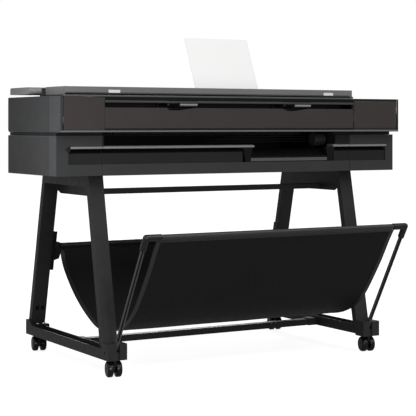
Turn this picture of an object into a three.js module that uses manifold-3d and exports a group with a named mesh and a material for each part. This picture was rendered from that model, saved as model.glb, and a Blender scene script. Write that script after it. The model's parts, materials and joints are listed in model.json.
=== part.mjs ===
// Large format plotter on a wheeled stand with a fabric print bin.
// Millimetres. +X is the user's right, +Y is the back, +Z is up.
// The design frame has X = 0 at mid width, Y = 0 on the lower body's front face and
// Z = 0 on the floor. The last lines move the whole group to its bottom centre.
import * as THREE from "three";
import { mergeVertices } from "three/addons/utils/BufferGeometryUtils.js";
import Module from "manifold-3d";

const wasm = await Module();
wasm.setup();

// ---- Driving sizes ----------------------------------------------------------------
const GAP = 0.3; // between pieces that touch or turn in each other
const WALL = 3; // moulded cover wall

const BODY_WIDTH = 1380;
const BODY_DEPTH = 422; // end covers, from the lower front face to the back
const REAR_BULGE = 40; // the centre chassis stands this far behind the end covers
const BODY_BOTTOM = 661;
const LOWER_HEIGHT = 134;
const WAIST_HEIGHT = 11;
const WAIST_INSET = 5; // sides and back
const WAIST_FRONT = 14;
const UPPER_HEIGHT = 121;
const UPPER_OVERHANG = 34; // the upper body stands this far in front of the lower one
const LOWER_SEAM_LEFT = -524;
const LOWER_SEAM_RIGHT = 489;
const UPPER_SEAM_LEFT = -530;
const UPPER_SEAM_RIGHT = 481;
const SIDE_LINE_Y = 60; // vertical joint line on each end cover

const RECESS_LEFT = -647; // long recess across the lower front
const RECESS_RIGHT = 655;
const RECESS_BOTTOM = 38; // heights above the body's bottom
const PANEL_TOP = 75;
const LEDGE_BOTTOM = 90;
const LEDGE_TOP = 99;
const LEDGE_PROUD = 3;
const LEDGE_END_LEFT = -640;
const LEDGE_END_RIGHT = 658;
const LEDGE_BREAK_LEFT = 72; // the ledge stops here and goes on at the next value
const LEDGE_BREAK_RIGHT = 414;
const CAVITY_LEFT = -518; // black print outlet above the ledge
const CAVITY_RIGHT = 425;
const CHASSIS_WALL = 8;
const FRONT_PANEL_DEPTH = 28;

const CHUTE_LEFT = 28; // sheet outlet chute with its two V brackets
const CHUTE_RIGHT = 421;
const BRACKET_WIDTH = 38;
const BRACKET_TAPER = 10;

const COVER_THICK = 8; // hinged front panels
const COVER_BOTTOM = 11; // heights above the upper body's bottom
const COVER_TOP = 82.6;
const SIDE_PANEL_TOP = 116;
const DOOR_LEFT = 487;
const DOOR_RIGHT = 678;
const DOOR_TOP = 112;
const SLOT_TOP = 99; // document slot above the centre cover
const SLOT_DEPTH = 79;
const HINGE_PIN_R = 2.5;
const HINGE_PIN_REACH = 2.4;

const LEVER_CENTRE = 235; // lid release levers, left and right
const LEVER_WIDTH = 114;
const LEVER_GRIP = 72;
const LEVER_THICK = 14;
const LEVER_BOTTOM = 89; // above the upper body's bottom
const LEVER_REACH = 72;

const LID_LEFT = -630;
const LID_RIGHT = 566;
const LID_FRONT = 75;
const LID_REAR = BODY_DEPTH - 34;
const LID_GAP = 6;
const LID_HEIGHT = 28;
const LID_CORNER = 22;
const LID_HINGE_X = 400;

const PANEL_WIDTH = 130; // tilting touch panel, flush with the left side
const PANEL_REAR = BODY_DEPTH - 20;
const PANEL_FRONT = PANEL_REAR - 171;
const PANEL_THICK = 24;
const PANEL_GAP = 9;
const PANEL_CLEAR = 3;

const SHEET_LEFT = 74;
const SHEET_WIDTH = 285;
const SHEET_THICK = 1.2;
const SHEET_LENGTH = 284;
const SHEET_LEAN = 23.8; // degrees back from upright
const SHEET_Y = BODY_DEPTH - 15; // where the sheets cross the deck

const RAIL_Y = 300;
const ROLLER_Y = 268;
const FEED_R = 12;
const PINCH_R = 6;
const JOURNAL_R = 3;
const SPINDLE_Y = 160;
const SPINDLE_Z = 72; // above the body's bottom
const SPINDLE_R = 10;
const HUB_R = 44;
const MEDIA_WIDTH = 914;

const STAND_X = 516; // centre of each side of the stand
const LEG_WIDTH = 55;
const LEG_THICK = 25;
const LEG_WALL = 2.5;
const FRONT_LEG_TOP_Y = 68; // front face of the front leg at the top
const FRONT_LEG_SLOPE = 0.204; // run per unit of height
const REAR_LEG_TOP_Y = 455; // rear face of the rear leg at the top
const REAR_LEG_SLOPE = 0.238;
const TOP_RAIL_HEIGHT = 39;
const GUSSET_THICK = 6;
const GUSSET_DROP = 37;
const UPPER_BAR_Y = 190;
const UPPER_BAR_DEPTH = 40;
const UPPER_BAR_HEIGHT = 19;
const LOWER_BAR_Y = 240;
const LOWER_BAR_DEPTH = 30;
const LOWER_BAR_HEIGHT = 23;

const FOOT_BLOCK_HEIGHT = 54;
const FOOT_BLOCK_WIDTH = 71;
const FOOT_FRONT = -99;
const FOOT_REAR = 594;
const FOOT_REAR_BLOCK = 54;
const FOOT_BAR_WIDTH = 48;
const FOOT_BAR_HEIGHT = 35;
const FOOT_BAR_WALL = 3;
const FOOT_SLOT = 12;

const WHEEL_R = 27;
const FOOT_BOTTOM = 2 * WHEEL_R + 5;
const WHEEL_THICK = 20;
const WHEEL_WEB = 10;
const AXLE_R = 4;
const STEM_R = 5;
const CASTER_TRAIL = 14;
const CASTER_YAW = -11; // degrees the front casters stand turned
const STEM_FROM_END = 21; // caster stem behind the foot's front face
const REAR_STEM_FROM_END = 31;

const ROD_X = 513; // side rods of the print bin
const ROD_R = 7.5;
const TUBE_R = 8;
const ELBOW_R = 11.5;
const BIN_PIVOT_Y = -80;
const BIN_PIVOT_Z = FOOT_BOTTOM + 37;
const BIN_TOP_Y = -297;
const BIN_TOP_Z = 474;
const HEM_HALF = 460;
const HEM_THICK = 2.5;
const SLING_HALF = 472;
const SLING_THICK = 3;
const REAR_ROD_Y = 462;
const REAR_ROD_Z = 392;

// ---- Values that follow -----------------------------------------------------------
const HALF = BODY_WIDTH / 2;
const LOWER_TOP = BODY_BOTTOM + LOWER_HEIGHT;
const UPPER_BOTTOM = LOWER_TOP + WAIST_HEIGHT;
const DECK = UPPER_BOTTOM + UPPER_HEIGHT;
const UPPER_FRONT = -UPPER_OVERHANG;
const CHASSIS_REAR = BODY_DEPTH + REAR_BULGE;
const LEDGE_Z = BODY_BOTTOM + LEDGE_TOP;
const LID_BOTTOM = DECK + LID_GAP;
const LID_TOP = LID_BOTTOM + LID_HEIGHT;
const LID_PIVOT_Y = LID_REAR - 6;
const LID_PIVOT_Z = LID_BOTTOM + 4;
const LID_KNUCKLE_R = 4.6;
const COVER_R = COVER_THICK / 2;
const COVER_PIVOT_Z = UPPER_BOTTOM + COVER_BOTTOM + COVER_R;
const SPINDLE_Z_ABS = BODY_BOTTOM + SPINDLE_Z;
const ROLLER_Z = LOWER_TOP + WAIST_HEIGHT / 2;
const FOOT_BAR_TOP = FOOT_BOTTOM + FOOT_BAR_HEIGHT;
const FOOT_BLOCK_TOP = FOOT_BOTTOM + FOOT_BLOCK_HEIGHT;
const REAR_SEAT = FOOT_BAR_TOP + 3; // the rear legs stand here
const LEG_TOP = BODY_BOTTOM - GAP;
const ROD_LEAN = Math.atan2(BIN_TOP_Y - BIN_PIVOT_Y, BIN_TOP_Z - BIN_PIVOT_Z);
const ROD_LENGTH = Math.hypot(BIN_TOP_Y - BIN_PIVOT_Y, BIN_TOP_Z - BIN_PIVOT_Z);
const SHEET_TILT = THREE.MathUtils.degToRad(SHEET_LEAN);
const PANEL_BOTTOM = DECK + PANEL_GAP;
const PANEL_NOSE = PANEL_THICK / 2;

// ---- Shape tools ------------------------------------------------------------------
function solid(geometry) {
  const plain = geometry.index ? geometry.toNonIndexed() : geometry.clone();
  plain.deleteAttribute("normal");
  plain.deleteAttribute("uv");
  const merged = mergeVertices(plain, 1e-4);
  return new wasm.Manifold(
    new wasm.Mesh({
      numProp: 3,
      vertProperties: merged.attributes.position.array,
      triVerts: new Uint32Array(merged.index.array),
    }),
  );
}

function geometryOf(manifold) {
  const mesh = manifold.getMesh();
  const geometry = new THREE.BufferGeometry();
  geometry.setAttribute("position", new THREE.BufferAttribute(mesh.vertProperties, 3));
  geometry.setIndex(new THREE.BufferAttribute(mesh.triVerts, 1));
  const flat = geometry.toNonIndexed();
  flat.computeVertexNormals();
  return flat;
}

function join(first, ...others) {
  return others.reduce((whole, piece) => whole.add(piece), first);
}

function cut(from, ...tools) {
  return tools.reduce((rest, tool) => rest.subtract(tool), from);
}

function block(x0, x1, y0, y1, z0, z1) {
  const box = new THREE.BoxGeometry(x1 - x0, y1 - y0, z1 - z0);
  box.translate((x0 + x1) / 2, (y0 + y1) / 2, (z0 + z1) / 2);
  return solid(box);
}

function outline(points) {
  const pts = points.map(([u, v]) => new THREE.Vector2(u, v));
  if (THREE.ShapeUtils.isClockWise(pts)) pts.reverse();
  return new THREE.Shape(pts);
}

// A profile of (y, z) points drawn out along X.
function alongX(points, x0, x1) {
  const body = new THREE.ExtrudeGeometry(outline(points), {
    depth: x1 - x0,
    bevelEnabled: false,
  });
  const turn = new THREE.Matrix4().makeBasis(
    new THREE.Vector3(0, 1, 0),
    new THREE.Vector3(0, 0, 1),
    new THREE.Vector3(1, 0, 0),
  );
  body.applyMatrix4(turn).translate(x0, 0, 0);
  return solid(body);
}

// A profile of (x, y) points drawn up along Z.
function alongZ(points, z0, z1) {
  const body = new THREE.ExtrudeGeometry(outline(points), {
    depth: z1 - z0,
    bevelEnabled: false,
  });
  return solid(body.translate(0, 0, z0));
}

// A profile of (x, z) points drawn along Y.
function alongY(points, y0, y1) {
  const body = new THREE.ExtrudeGeometry(outline(points), {
    depth: y1 - y0,
    bevelEnabled: false,
  });
  body.rotateX(Math.PI / 2).translate(0, y1, 0);
  return solid(body);
}

function rodX(radius, x0, x1, y, z, sides = 24) {
  const rod = new THREE.CylinderGeometry(radius, radius, x1 - x0, sides);
  rod.rotateZ(Math.PI / 2).translate((x0 + x1) / 2, y, z);
  return solid(rod);
}

function rodZ(radius, x, y, z0, z1, sides = 24) {
  const rod = new THREE.CylinderGeometry(radius, radius, z1 - z0, sides);
  rod.rotateX(Math.PI / 2).translate(x, y, (z0 + z1) / 2);
  return solid(rod);
}

function arc(y, z, radius, from, to, steps) {
  return Array.from({ length: steps + 1 }, (_, i) => {
    const a = THREE.MathUtils.degToRad(from + ((to - from) * i) / steps);
    return [y + radius * Math.cos(a), z + radius * Math.sin(a)];
  });
}

// A hinged flat panel with a full-round lower edge about its pivot, and two end pins.
function hingedPanel(x0, x1, top) {
  const y = UPPER_FRONT + COVER_R;
  const profile = [
    ...arc(y, COVER_PIVOT_Z, COVER_R, 180, 360, 8),
    [y + COVER_R, top],
    [y - COVER_R, top],
  ];
  return join(
    alongX(profile, x0, x1),
    rodX(HINGE_PIN_R, x0 - HINGE_PIN_REACH, x1 + HINGE_PIN_REACH, y, COVER_PIVOT_Z, 12),
  );
}

function hingeBores(x0, x1) {
  const y = UPPER_FRONT + COVER_R;
  const reach = HINGE_PIN_REACH + 2 * GAP;
  return rodX(HINGE_PIN_R + GAP, x0 - reach, x1 + reach, y, COVER_PIVOT_Z, 12);
}

// ---- Pieces -----------------------------------------------------------------------
const plotter = new THREE.Group();
plotter.name = "large_format_plotter";
const finish = (color, roughness, metalness = 0) =>
  new THREE.MeshStandardMaterial({ color, roughness, metalness });
const CHARCOAL = finish(0x3c3d3f, 0.55);
const GRAPHITE = finish(0x2b2c2e, 0.6);
const BROWN = finish(0x423d3b, 0.5);
const LID_GREY = finish(0x56585a, 0.5);
const LIGHT_GREY = finish(0x9a9c9e, 0.45);
const BLACK = finish(0x141415, 0.5);
const STEEL_PAINT = finish(0x333436, 0.5, 0.2);
const STEEL = finish(0xa8aaac, 0.35, 0.9);
const FABRIC = finish(0x161617, 0.85);
const PAPER = finish(0xf5f5f3, 0.9);
const GLASS = finish(0x10171c, 0.1);
const BOARD = finish(0x1f5b35, 0.6);

function add(name, manifold, material) {
  const mesh = new THREE.Mesh(geometryOf(manifold), material);
  mesh.name = name;
  plotter.add(mesh);
}

// Recess that runs across the lower front under the ledge, as a cutting profile.
function recessCut(x0, x1) {
  const z = (h) => BODY_BOTTOM + h;
  return alongX(
    [
      [-20, z(RECESS_BOTTOM)],
      [5, z(RECESS_BOTTOM)],
      [5, z(PANEL_TOP)],
      [20, z(LEDGE_BOTTOM)],
      [-20, z(LEDGE_BOTTOM)],
    ],
    x0,
    x1,
  );
}

function ledge(x0, x1, y1) {
  const z0 = BODY_BOTTOM + LEDGE_BOTTOM;
  return alongX(
    [
      [y1, z0],
      [y1, LEDGE_Z],
      [LEDGE_PROUD, LEDGE_Z],
      [-LEDGE_PROUD, LEDGE_Z - 3],
      [-LEDGE_PROUD, z0 + 1.5],
      [-LEDGE_PROUD + 2, z0],
    ],
    x0,
    x1,
  );
}

// A cover's side outline with its rear corners cut off, `low` and `high` from the corner.
function coverProfile(y0, y1, z0, z1, low, high) {
  return [
    [y0, z0],
    [y0, z1],
    [y1 - high, z1],
    [y1, z1 - high],
    [y1, z0 + low],
    [y1 - low, z0],
  ];
}
const REAR_CHAMFER = 7; // lower rear edge of the upper body
const SMALL_CHAMFER = 3;

// One end cover of the lower body: a shell open towards the middle.
function lowerCover(side) {
  const seam = side < 0 ? LOWER_SEAM_LEFT - GAP : LOWER_SEAM_RIGHT + GAP;
  const [x0, x1] = side < 0 ? [-HALF, seam] : [seam, HALF];
  const [r0, r1] = side < 0 ? [RECESS_LEFT, seam + 1] : [seam - 1, RECESS_RIGHT];
  const [l0, l1] = side < 0 ? [LEDGE_END_LEFT, seam] : [seam, LEDGE_END_RIGHT];
  const [c0, c1] = side < 0 ? [x0 + WALL, x1 + 1] : [x0 - 1, x1 - WALL];
  const line = side < 0 ? [x0 - 1, x0 + 1] : [x1 - 1, x1 + 1];
  return join(
    cut(
      alongX(coverProfile(0, BODY_DEPTH, BODY_BOTTOM, LOWER_TOP, SMALL_CHAMFER, SMALL_CHAMFER),
        x0, x1),
      recessCut(r0, r1),
      block(c0, c1, FRONT_PANEL_DEPTH, BODY_DEPTH - WALL, BODY_BOTTOM + WALL, LOWER_TOP - WALL),
      block(line[0], line[1], SIDE_LINE_Y, SIDE_LINE_Y + 2, BODY_BOTTOM - 1, LOWER_TOP + 1),
    ),
    ledge(l0, l1, FRONT_PANEL_DEPTH - 1),
  );
}

const INLET_X = -620; // mains inlet on the back of the left lower cover
const INLET_Z = 45;
const INLET_WIDTH = 48;
const INLET_HEIGHT = 28;

function inletHole(margin) {
  const z = BODY_BOTTOM + INLET_Z;
  const w = INLET_WIDTH / 2 + margin;
  return block(INLET_X - w, INLET_X + w, BODY_DEPTH - 10, BODY_DEPTH + 1,
    z - margin, z + INLET_HEIGHT + margin);
}

add("left_lower_cover", cut(lowerCover(-1), inletHole(GAP)), CHARCOAL);
add("right_lower_cover", lowerCover(1), CHARCOAL);

function baseChassis() {
  const x0 = LOWER_SEAM_LEFT + GAP;
  const x1 = LOWER_SEAM_RIGHT - GAP;
  const y0 = FRONT_PANEL_DEPTH + GAP;
  const w = CHASSIS_WALL;
  const wallTop = LEDGE_Z + GAP;
  return cut(
    join(
      block(x0, x1, y0, CHASSIS_REAR, BODY_BOTTOM, BODY_BOTTOM + w),
      block(x0, x1, CHASSIS_REAR - w, CHASSIS_REAR, BODY_BOTTOM, LOWER_TOP),
      block(x0, x0 + w, y0, CHASSIS_REAR, BODY_BOTTOM, LOWER_TOP),
      block(x1 - w, x1, y0, CHASSIS_REAR, BODY_BOTTOM, LOWER_TOP),
      block(x0, CAVITY_LEFT, 0, y0 + 30, wallTop, LOWER_TOP),
      block(CAVITY_RIGHT, x1, 0, y0 + 30, wallTop, LOWER_TOP),
    ),
    ledgeSeat(),
    rodX(SPINDLE_R + GAP, x0 - 1, x1 + 1, SPINDLE_Y, SPINDLE_Z_ABS),
  );
}

const LEDGE_DEPTH = 40;
function ledgeSeat() {
  return block(LOWER_SEAM_LEFT - 1, LOWER_SEAM_RIGHT + 1, 0, LEDGE_DEPTH + GAP,
    BODY_BOTTOM + LEDGE_BOTTOM - GAP, LEDGE_Z + GAP);
}
add("base_chassis", baseChassis(), GRAPHITE);

function lowerFrontPanel() {
  const x0 = LOWER_SEAM_LEFT + GAP;
  const x1 = LOWER_SEAM_RIGHT - GAP;
  const top = BODY_BOTTOM + LEDGE_BOTTOM - GAP;
  return cut(
    block(x0, x1, 0, FRONT_PANEL_DEPTH, BODY_BOTTOM, top),
    recessCut(x0 - 1, x1 + 1),
    block(x0 + 20, x1 - 20, 14, FRONT_PANEL_DEPTH + 1, BODY_BOTTOM + 6, BODY_BOTTOM + 32),
    block(CHUTE_LEFT - GAP, CHUTE_RIGHT + GAP, -1, FRONT_PANEL_DEPTH + 1,
      BODY_BOTTOM + RECESS_BOTTOM, top + 1),
  );
}
add("lower_front_panel", lowerFrontPanel(), CHARCOAL);
add("output_ledge_left", ledge(LOWER_SEAM_LEFT + GAP, LEDGE_BREAK_LEFT, LEDGE_DEPTH), LIGHT_GREY);
add("output_ledge_right", ledge(LEDGE_BREAK_RIGHT, LOWER_SEAM_RIGHT - GAP, LEDGE_DEPTH), LIGHT_GREY);

// Sloping sheet outlet between two V-shaped brackets, in the break of the ledge.
function sheetChute() {
  const z = BODY_BOTTOM + RECESS_BOTTOM + GAP;
  const top = BODY_BOTTOM + LEDGE_BOTTOM - GAP;
  const plate = alongX(
    [
      [2, z],
      [2, z + 18],
      [58, top - 8],
      [58, top - 14],
      [20, z + 16],
      [20, z],
    ],
    CHUTE_LEFT + 10,
    CHUTE_RIGHT - 10,
  );
  const bracket = (x) =>
    alongY(
      [
        [x, top],
        [x + BRACKET_WIDTH, top],
        [x + BRACKET_WIDTH - BRACKET_TAPER, z],
        [x + BRACKET_TAPER, z],
      ],
      0,
      FRONT_PANEL_DEPTH - 6,
    );
  return join(plate, bracket(CHUTE_LEFT), bracket(CHUTE_RIGHT - BRACKET_WIDTH));
}
add("sheet_output_chute", sheetChute(), GRAPHITE);

// Plate between the two bodies, with the front sill and the slot for the feed roller.
function midFrame() {
  const z0 = LOWER_TOP + GAP;
  const z1 = UPPER_BOTTOM - GAP;
  const x0 = UPPER_SEAM_LEFT + GAP;
  const x1 = UPPER_SEAM_RIGHT - GAP;
  const sillTop = UPPER_BOTTOM + COVER_BOTTOM - GAP;
  const reach = 12;
  const plate = cut(
    join(
      block(-HALF + WAIST_INSET, HALF - WAIST_INSET, WAIST_FRONT, BODY_DEPTH - WAIST_INSET, z0, z1),
      block(x0, x1, BODY_DEPTH - WAIST_INSET - 1, CHASSIS_REAR - 4, z0, z1),
    ),
    block(CAVITY_LEFT, CAVITY_RIGHT, WAIST_FRONT - 1, 215, z0 - 1, z1 + 1),
    block(CAVITY_LEFT, CAVITY_RIGHT, ROLLER_Y - FEED_R - 6, ROLLER_Y + FEED_R + 6, z0 - 1, z1 + 1),
    rodX(JOURNAL_R + GAP, CAVITY_LEFT - reach, CAVITY_RIGHT + reach, ROLLER_Y, ROLLER_Z, 16),
  );
  const lug = (a, b) => join(
    block(a, b, UPPER_FRONT + 2, 60, UPPER_BOTTOM, UPPER_BOTTOM + 5),
    block(a, b, 24, 60, z0 + 2, UPPER_BOTTOM + 1),
  );
  return join(
    plate,
    lug(x0, x0 + 11),
    lug(x1 - 40, x1),
    block(x0, x1, UPPER_FRONT, UPPER_FRONT + 16, UPPER_BOTTOM, sillTop),
  );
}
add("mid_frame", midFrame(), GRAPHITE);

// One end cover of the upper body: a shell open towards the middle.
function upperCover(side) {
  const seam = side < 0 ? UPPER_SEAM_LEFT - GAP : UPPER_SEAM_RIGHT + GAP;
  const [x0, x1] = side < 0 ? [-HALF, seam] : [seam, HALF];
  const [c0, c1] = side < 0 ? [x0 + WALL, x1 + 1] : [x0 - 1, x1 - WALL];
  const front = UPPER_FRONT + COVER_THICK + 4;
  const line = side < 0 ? [x0 - 1, x0 + 1] : [x1 - 1, x1 + 1];
  return cut(
    alongX(coverProfile(UPPER_FRONT, BODY_DEPTH, UPPER_BOTTOM, DECK, REAR_CHAMFER, SMALL_CHAMFER),
      x0, x1),
    alongX(coverProfile(front, BODY_DEPTH - WALL, UPPER_BOTTOM + WALL, DECK - WALL,
      REAR_CHAMFER - WALL / 2, 0.5), c0, c1),
    block(line[0], line[1], SIDE_LINE_Y, SIDE_LINE_Y + 2, UPPER_BOTTOM - 1, DECK + 1),
    hingeBores(UPPER_SEAM_LEFT, UPPER_SEAM_RIGHT),
  );
}

// Touch panel knuckle: a post on the left cover with a bore for the panel's pin.
const KNUCKLE_X = -HALF + 60;
const KNUCKLE_HALF = 12;
const KNUCKLE_R = 7;
const PANEL_PIN_R = 3;
const PANEL_PIVOT_Y = PANEL_FRONT + PANEL_NOSE;
const PANEL_PIVOT_Z = PANEL_BOTTOM + PANEL_NOSE;
function panelKnuckle() {
  const profile = [
    [PANEL_PIVOT_Y - KNUCKLE_R, DECK - 1],
    ...arc(PANEL_PIVOT_Y, PANEL_PIVOT_Z, KNUCKLE_R, 180, 0, 8),
    [PANEL_PIVOT_Y + KNUCKLE_R, DECK - 1],
  ];
  return cut(
    alongX(profile, KNUCKLE_X - KNUCKLE_HALF, KNUCKLE_X + KNUCKLE_HALF),
    rodX(PANEL_PIN_R + GAP, KNUCKLE_X - 40, KNUCKLE_X + 40, PANEL_PIVOT_Y, PANEL_PIVOT_Z, 16),
  );
}

const SIDE_PANEL_LEFT = -HALF + 12;
function leftPanelPocket(margin) {
  return block(SIDE_PANEL_LEFT - margin, UPPER_SEAM_LEFT + 1, UPPER_FRONT - 1,
    UPPER_FRONT + COVER_THICK + margin, UPPER_BOTTOM + COVER_BOTTOM - margin,
    UPPER_BOTTOM + SIDE_PANEL_TOP + margin);
}
add("left_upper_cover", join(cut(upperCover(-1), leftPanelPocket(GAP)), panelKnuckle()), CHARCOAL);
add("left_front_panel",
  cut(
    block(SIDE_PANEL_LEFT, UPPER_SEAM_LEFT - GAP, UPPER_FRONT, UPPER_FRONT + COVER_THICK,
      UPPER_BOTTOM + COVER_BOTTOM, UPPER_BOTTOM + SIDE_PANEL_TOP),
    hingeBores(UPPER_SEAM_LEFT, UPPER_SEAM_RIGHT),
  ), BROWN);

function inkDoorway() {
  const x0 = DOOR_LEFT - GAP;
  const x1 = DOOR_RIGHT + GAP;
  const bottom = UPPER_BOTTOM + COVER_BOTTOM - GAP;
  return join(
    block(x0, x1, UPPER_FRONT - 1, UPPER_FRONT + 20, bottom, UPPER_BOTTOM + DOOR_TOP + GAP),
    hingeBores(DOOR_LEFT, DOOR_RIGHT),
  );
}
add("right_upper_cover", cut(upperCover(1), inkDoorway()), CHARCOAL);
add("ink_door", hingedPanel(DOOR_LEFT, DOOR_RIGHT, UPPER_BOTTOM + DOOR_TOP), BROWN);

function fingerScoop(x) {
  const top = UPPER_BOTTOM + COVER_TOP;
  const half = LEVER_WIDTH / 2 + 4;
  return alongY(
    [
      [x - half, top + 1],
      [x - half + 4, top - 6],
      [x - half + 12, top - 8],
      [x - half + 48, top - 8],
      [x + half - 36, top - 3],
      [x + half, top + 1],
    ],
    UPPER_FRONT - 1,
    UPPER_FRONT + COVER_THICK + 1,
  );
}
add("centre_front_cover",
  cut(
    hingedPanel(UPPER_SEAM_LEFT + GAP, UPPER_SEAM_RIGHT - GAP, UPPER_BOTTOM + COVER_TOP),
    fingerScoop(-LEVER_CENTRE),
    fingerScoop(LEVER_CENTRE),
  ), BROWN);

// Release levers: a grip at the front of the document slot on an arm to a pivot rod.
const LEVER_PIVOT_Y = UPPER_FRONT + LEVER_REACH;
const LEVER_PIVOT_Z = UPPER_BOTTOM + LEVER_BOTTOM + LEVER_THICK / 2;
const LEVER_CHEEK = 6;
const LEVER_PIN_R = 3;
function releaseLever(x) {
  const x0 = x - LEVER_WIDTH / 2;
  const x1 = x + LEVER_WIDTH / 2;
  const z0 = UPPER_BOTTOM + LEVER_BOTTOM;
  const z1 = z0 + LEVER_THICK;
  const arm = [
    ...arc(LEVER_PIVOT_Y, LEVER_PIVOT_Z, 5, -90, 90, 6),
    [UPPER_FRONT + 14, z1 - 3],
    [UPPER_FRONT + 6, z0 + 3],
    [UPPER_FRONT + 16, z0 + 2],
  ];
  const grip = [
    [UPPER_FRONT, z0],
    [UPPER_FRONT, z1],
    [UPPER_FRONT + 20, z1],
    [UPPER_FRONT + 20, z0],
  ];
  return join(
    alongX(arm, x0, x1),
    alongX(grip, x1 - LEVER_GRIP, x1),
    rodX(LEVER_PIN_R, x0 - LEVER_CHEEK, x1 + LEVER_CHEEK, LEVER_PIVOT_Y, LEVER_PIVOT_Z, 12),
  );
}
add("left_release_lever", releaseLever(-LEVER_CENTRE), LIGHT_GREY);
add("right_release_lever", releaseLever(LEVER_CENTRE), LIGHT_GREY);

// Notch and pivot cheeks for one lever, in the scanner base.
function leverNotch(x) {
  const half = LEVER_WIDTH / 2 + 1.5;
  return block(x - half, x + half, UPPER_FRONT - 1, LEVER_PIVOT_Y + 8,
    UPPER_BOTTOM + COVER_TOP, DECK - 6);
}
function leverCheeks(x) {
  const half = LEVER_WIDTH / 2 + 1.5;
  const cheek = (a, b) =>
    block(a, b, LEVER_PIVOT_Y - 7, LEVER_PIVOT_Y + 9, LEVER_PIVOT_Z - 6, DECK - 5);
  const reach = LEVER_CHEEK + 1;
  return join(cheek(x - half - reach, x - half), cheek(x + half, x + half + reach));
}
function leverBore(x) {
  const reach = LEVER_WIDTH / 2 + LEVER_CHEEK + 2;
  return rodX(LEVER_PIN_R + GAP, x - reach, x + reach, LEVER_PIVOT_Y, LEVER_PIVOT_Z, 12);
}

// Room in the document tray for fingertips under one lever.
const WELL_DEPTH = 23;
function fingerWell(x, z0) {
  const half = LEVER_WIDTH / 2 + 4;
  return block(x - half, x + half, UPPER_FRONT, UPPER_FRONT + WELL_DEPTH, z0 - 6, z0 + 1);
}

const GLASS_Y = 190;
const GLASS_WIDTH = 70;
const GLASS_THICK = 5;
const GLASS_END = 12;
function scannerGlass(margin) {
  return block(UPPER_SEAM_LEFT + GLASS_END - margin, UPPER_SEAM_RIGHT - GLASS_END + margin,
    GLASS_Y - margin, GLASS_Y + GLASS_WIDTH + margin, DECK - GLASS_THICK - margin, DECK + margin);
}
const REAR_STRIP_Y = SHEET_Y - 21; // the rear cover starts here
function scannerBase() {
  const x0 = UPPER_SEAM_LEFT + GAP;
  const x1 = UPPER_SEAM_RIGHT - GAP;
  const y1 = REAR_STRIP_Y - GAP;
  const z0 = UPPER_BOTTOM + COVER_TOP + GAP;
  const slotTop = UPPER_BOTTOM + SLOT_TOP;
  const slotBack = UPPER_FRONT + SLOT_DEPTH;
  const shell = cut(
    block(x0, x1, UPPER_FRONT, y1, z0, DECK),
    block(x0 - 1, x1 + 1, UPPER_FRONT - 1, slotBack, z0 - 1, slotTop),
    block(x0 + 8, x1 - 8, slotBack + 8, y1 - 8, z0 - 1, DECK - 10),
    scannerGlass(GAP),
    leverNotch(-LEVER_CENTRE),
    leverNotch(LEVER_CENTRE),
  );
  const tray = cut(
    block(x0, x1, UPPER_FRONT + COVER_THICK + 1, slotBack + 9, z0 - 5, z0),
    fingerWell(-LEVER_CENTRE, z0),
    fingerWell(LEVER_CENTRE, z0),
  );
  return cut(
    join(shell, tray, leverCheeks(-LEVER_CENTRE), leverCheeks(LEVER_CENTRE),
      lidKnuckle(-LID_HINGE_X), lidKnuckle(LID_HINGE_X)),
    leverBore(-LEVER_CENTRE),
    leverBore(LEVER_CENTRE),
  );
}
add("scanner_base", scannerBase(), GRAPHITE);
add("scanner_glass", scannerGlass(0), GLASS);

// Lid hinge: a knuckle on the base holds a short pin of the lid.
function lidKnuckle(x) {
  const r = LID_KNUCKLE_R;
  const profile = [
    [LID_PIVOT_Y - r, DECK - 1],
    ...arc(LID_PIVOT_Y, LID_PIVOT_Z, r, 180, 0, 8),
    [LID_PIVOT_Y + r, DECK - 1],
  ];
  return cut(
    alongX(profile, x - 10, x + 10),
    rodX(2 + GAP, x - 11, x + 11, LID_PIVOT_Y, LID_PIVOT_Z, 12),
    block(x - 11, x + 11, REAR_STRIP_Y - GAP, LID_PIVOT_Y + 10, DECK - 2, LID_TOP),
  );
}

function scannerLid() {
  const panelRight = -HALF + PANEL_WIDTH + PANEL_CLEAR;
  const panelFront = PANEL_FRONT - PANEL_CLEAR;
  const w = 5;
  const plan = (m) => [
    [LID_LEFT + m, LID_FRONT + m],
    [LID_RIGHT - LID_CORNER, LID_FRONT + m],
    ...arc(LID_RIGHT - LID_CORNER, LID_FRONT + LID_CORNER, LID_CORNER - m, -72, 0, 4),
    [LID_RIGHT - m, LID_REAR - m],
    [panelRight + m, LID_REAR - m],
    [panelRight + m, panelFront - m],
    [LID_LEFT + m, panelFront - m],
  ];
  const foot = (x, y) => block(x - 7, x + 7, y - 7, y + 7, DECK + GAP, LID_TOP - 2);
  const web = (x) =>
    block(x - 2, x + 2, LID_PIVOT_Y - 4, LID_REAR - w + 1, LID_PIVOT_Z - 3.5, LID_TOP - 2);
  const notch = (x) =>
    block(x - 11, x + 11, LID_PIVOT_Y - LID_KNUCKLE_R - 1, LID_REAR + 1, LID_BOTTOM - 1,
      LID_PIVOT_Z + LID_KNUCKLE_R + 1);
  const hinge = (x) => join(web(x - 14), web(x + 14),
    rodX(2, x - 15, x + 15, LID_PIVOT_Y, LID_PIVOT_Z, 12));
  return join(
    cut(
      alongZ(plan(0), LID_BOTTOM, LID_TOP),
      alongZ(plan(w), LID_BOTTOM - 1, LID_TOP - w),
      notch(-LID_HINGE_X),
      notch(LID_HINGE_X),
    ),
    foot(LID_LEFT + 25, LID_FRONT + 30),
    foot(LID_RIGHT - 35, LID_FRONT + 40),
    foot(LID_RIGHT - 35, LID_REAR - 40),
    foot(panelRight + 30, LID_REAR - 40),
    hinge(-LID_HINGE_X),
    hinge(LID_HINGE_X),
  );
}
add("scanner_lid", scannerLid(), LID_GREY);

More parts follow.
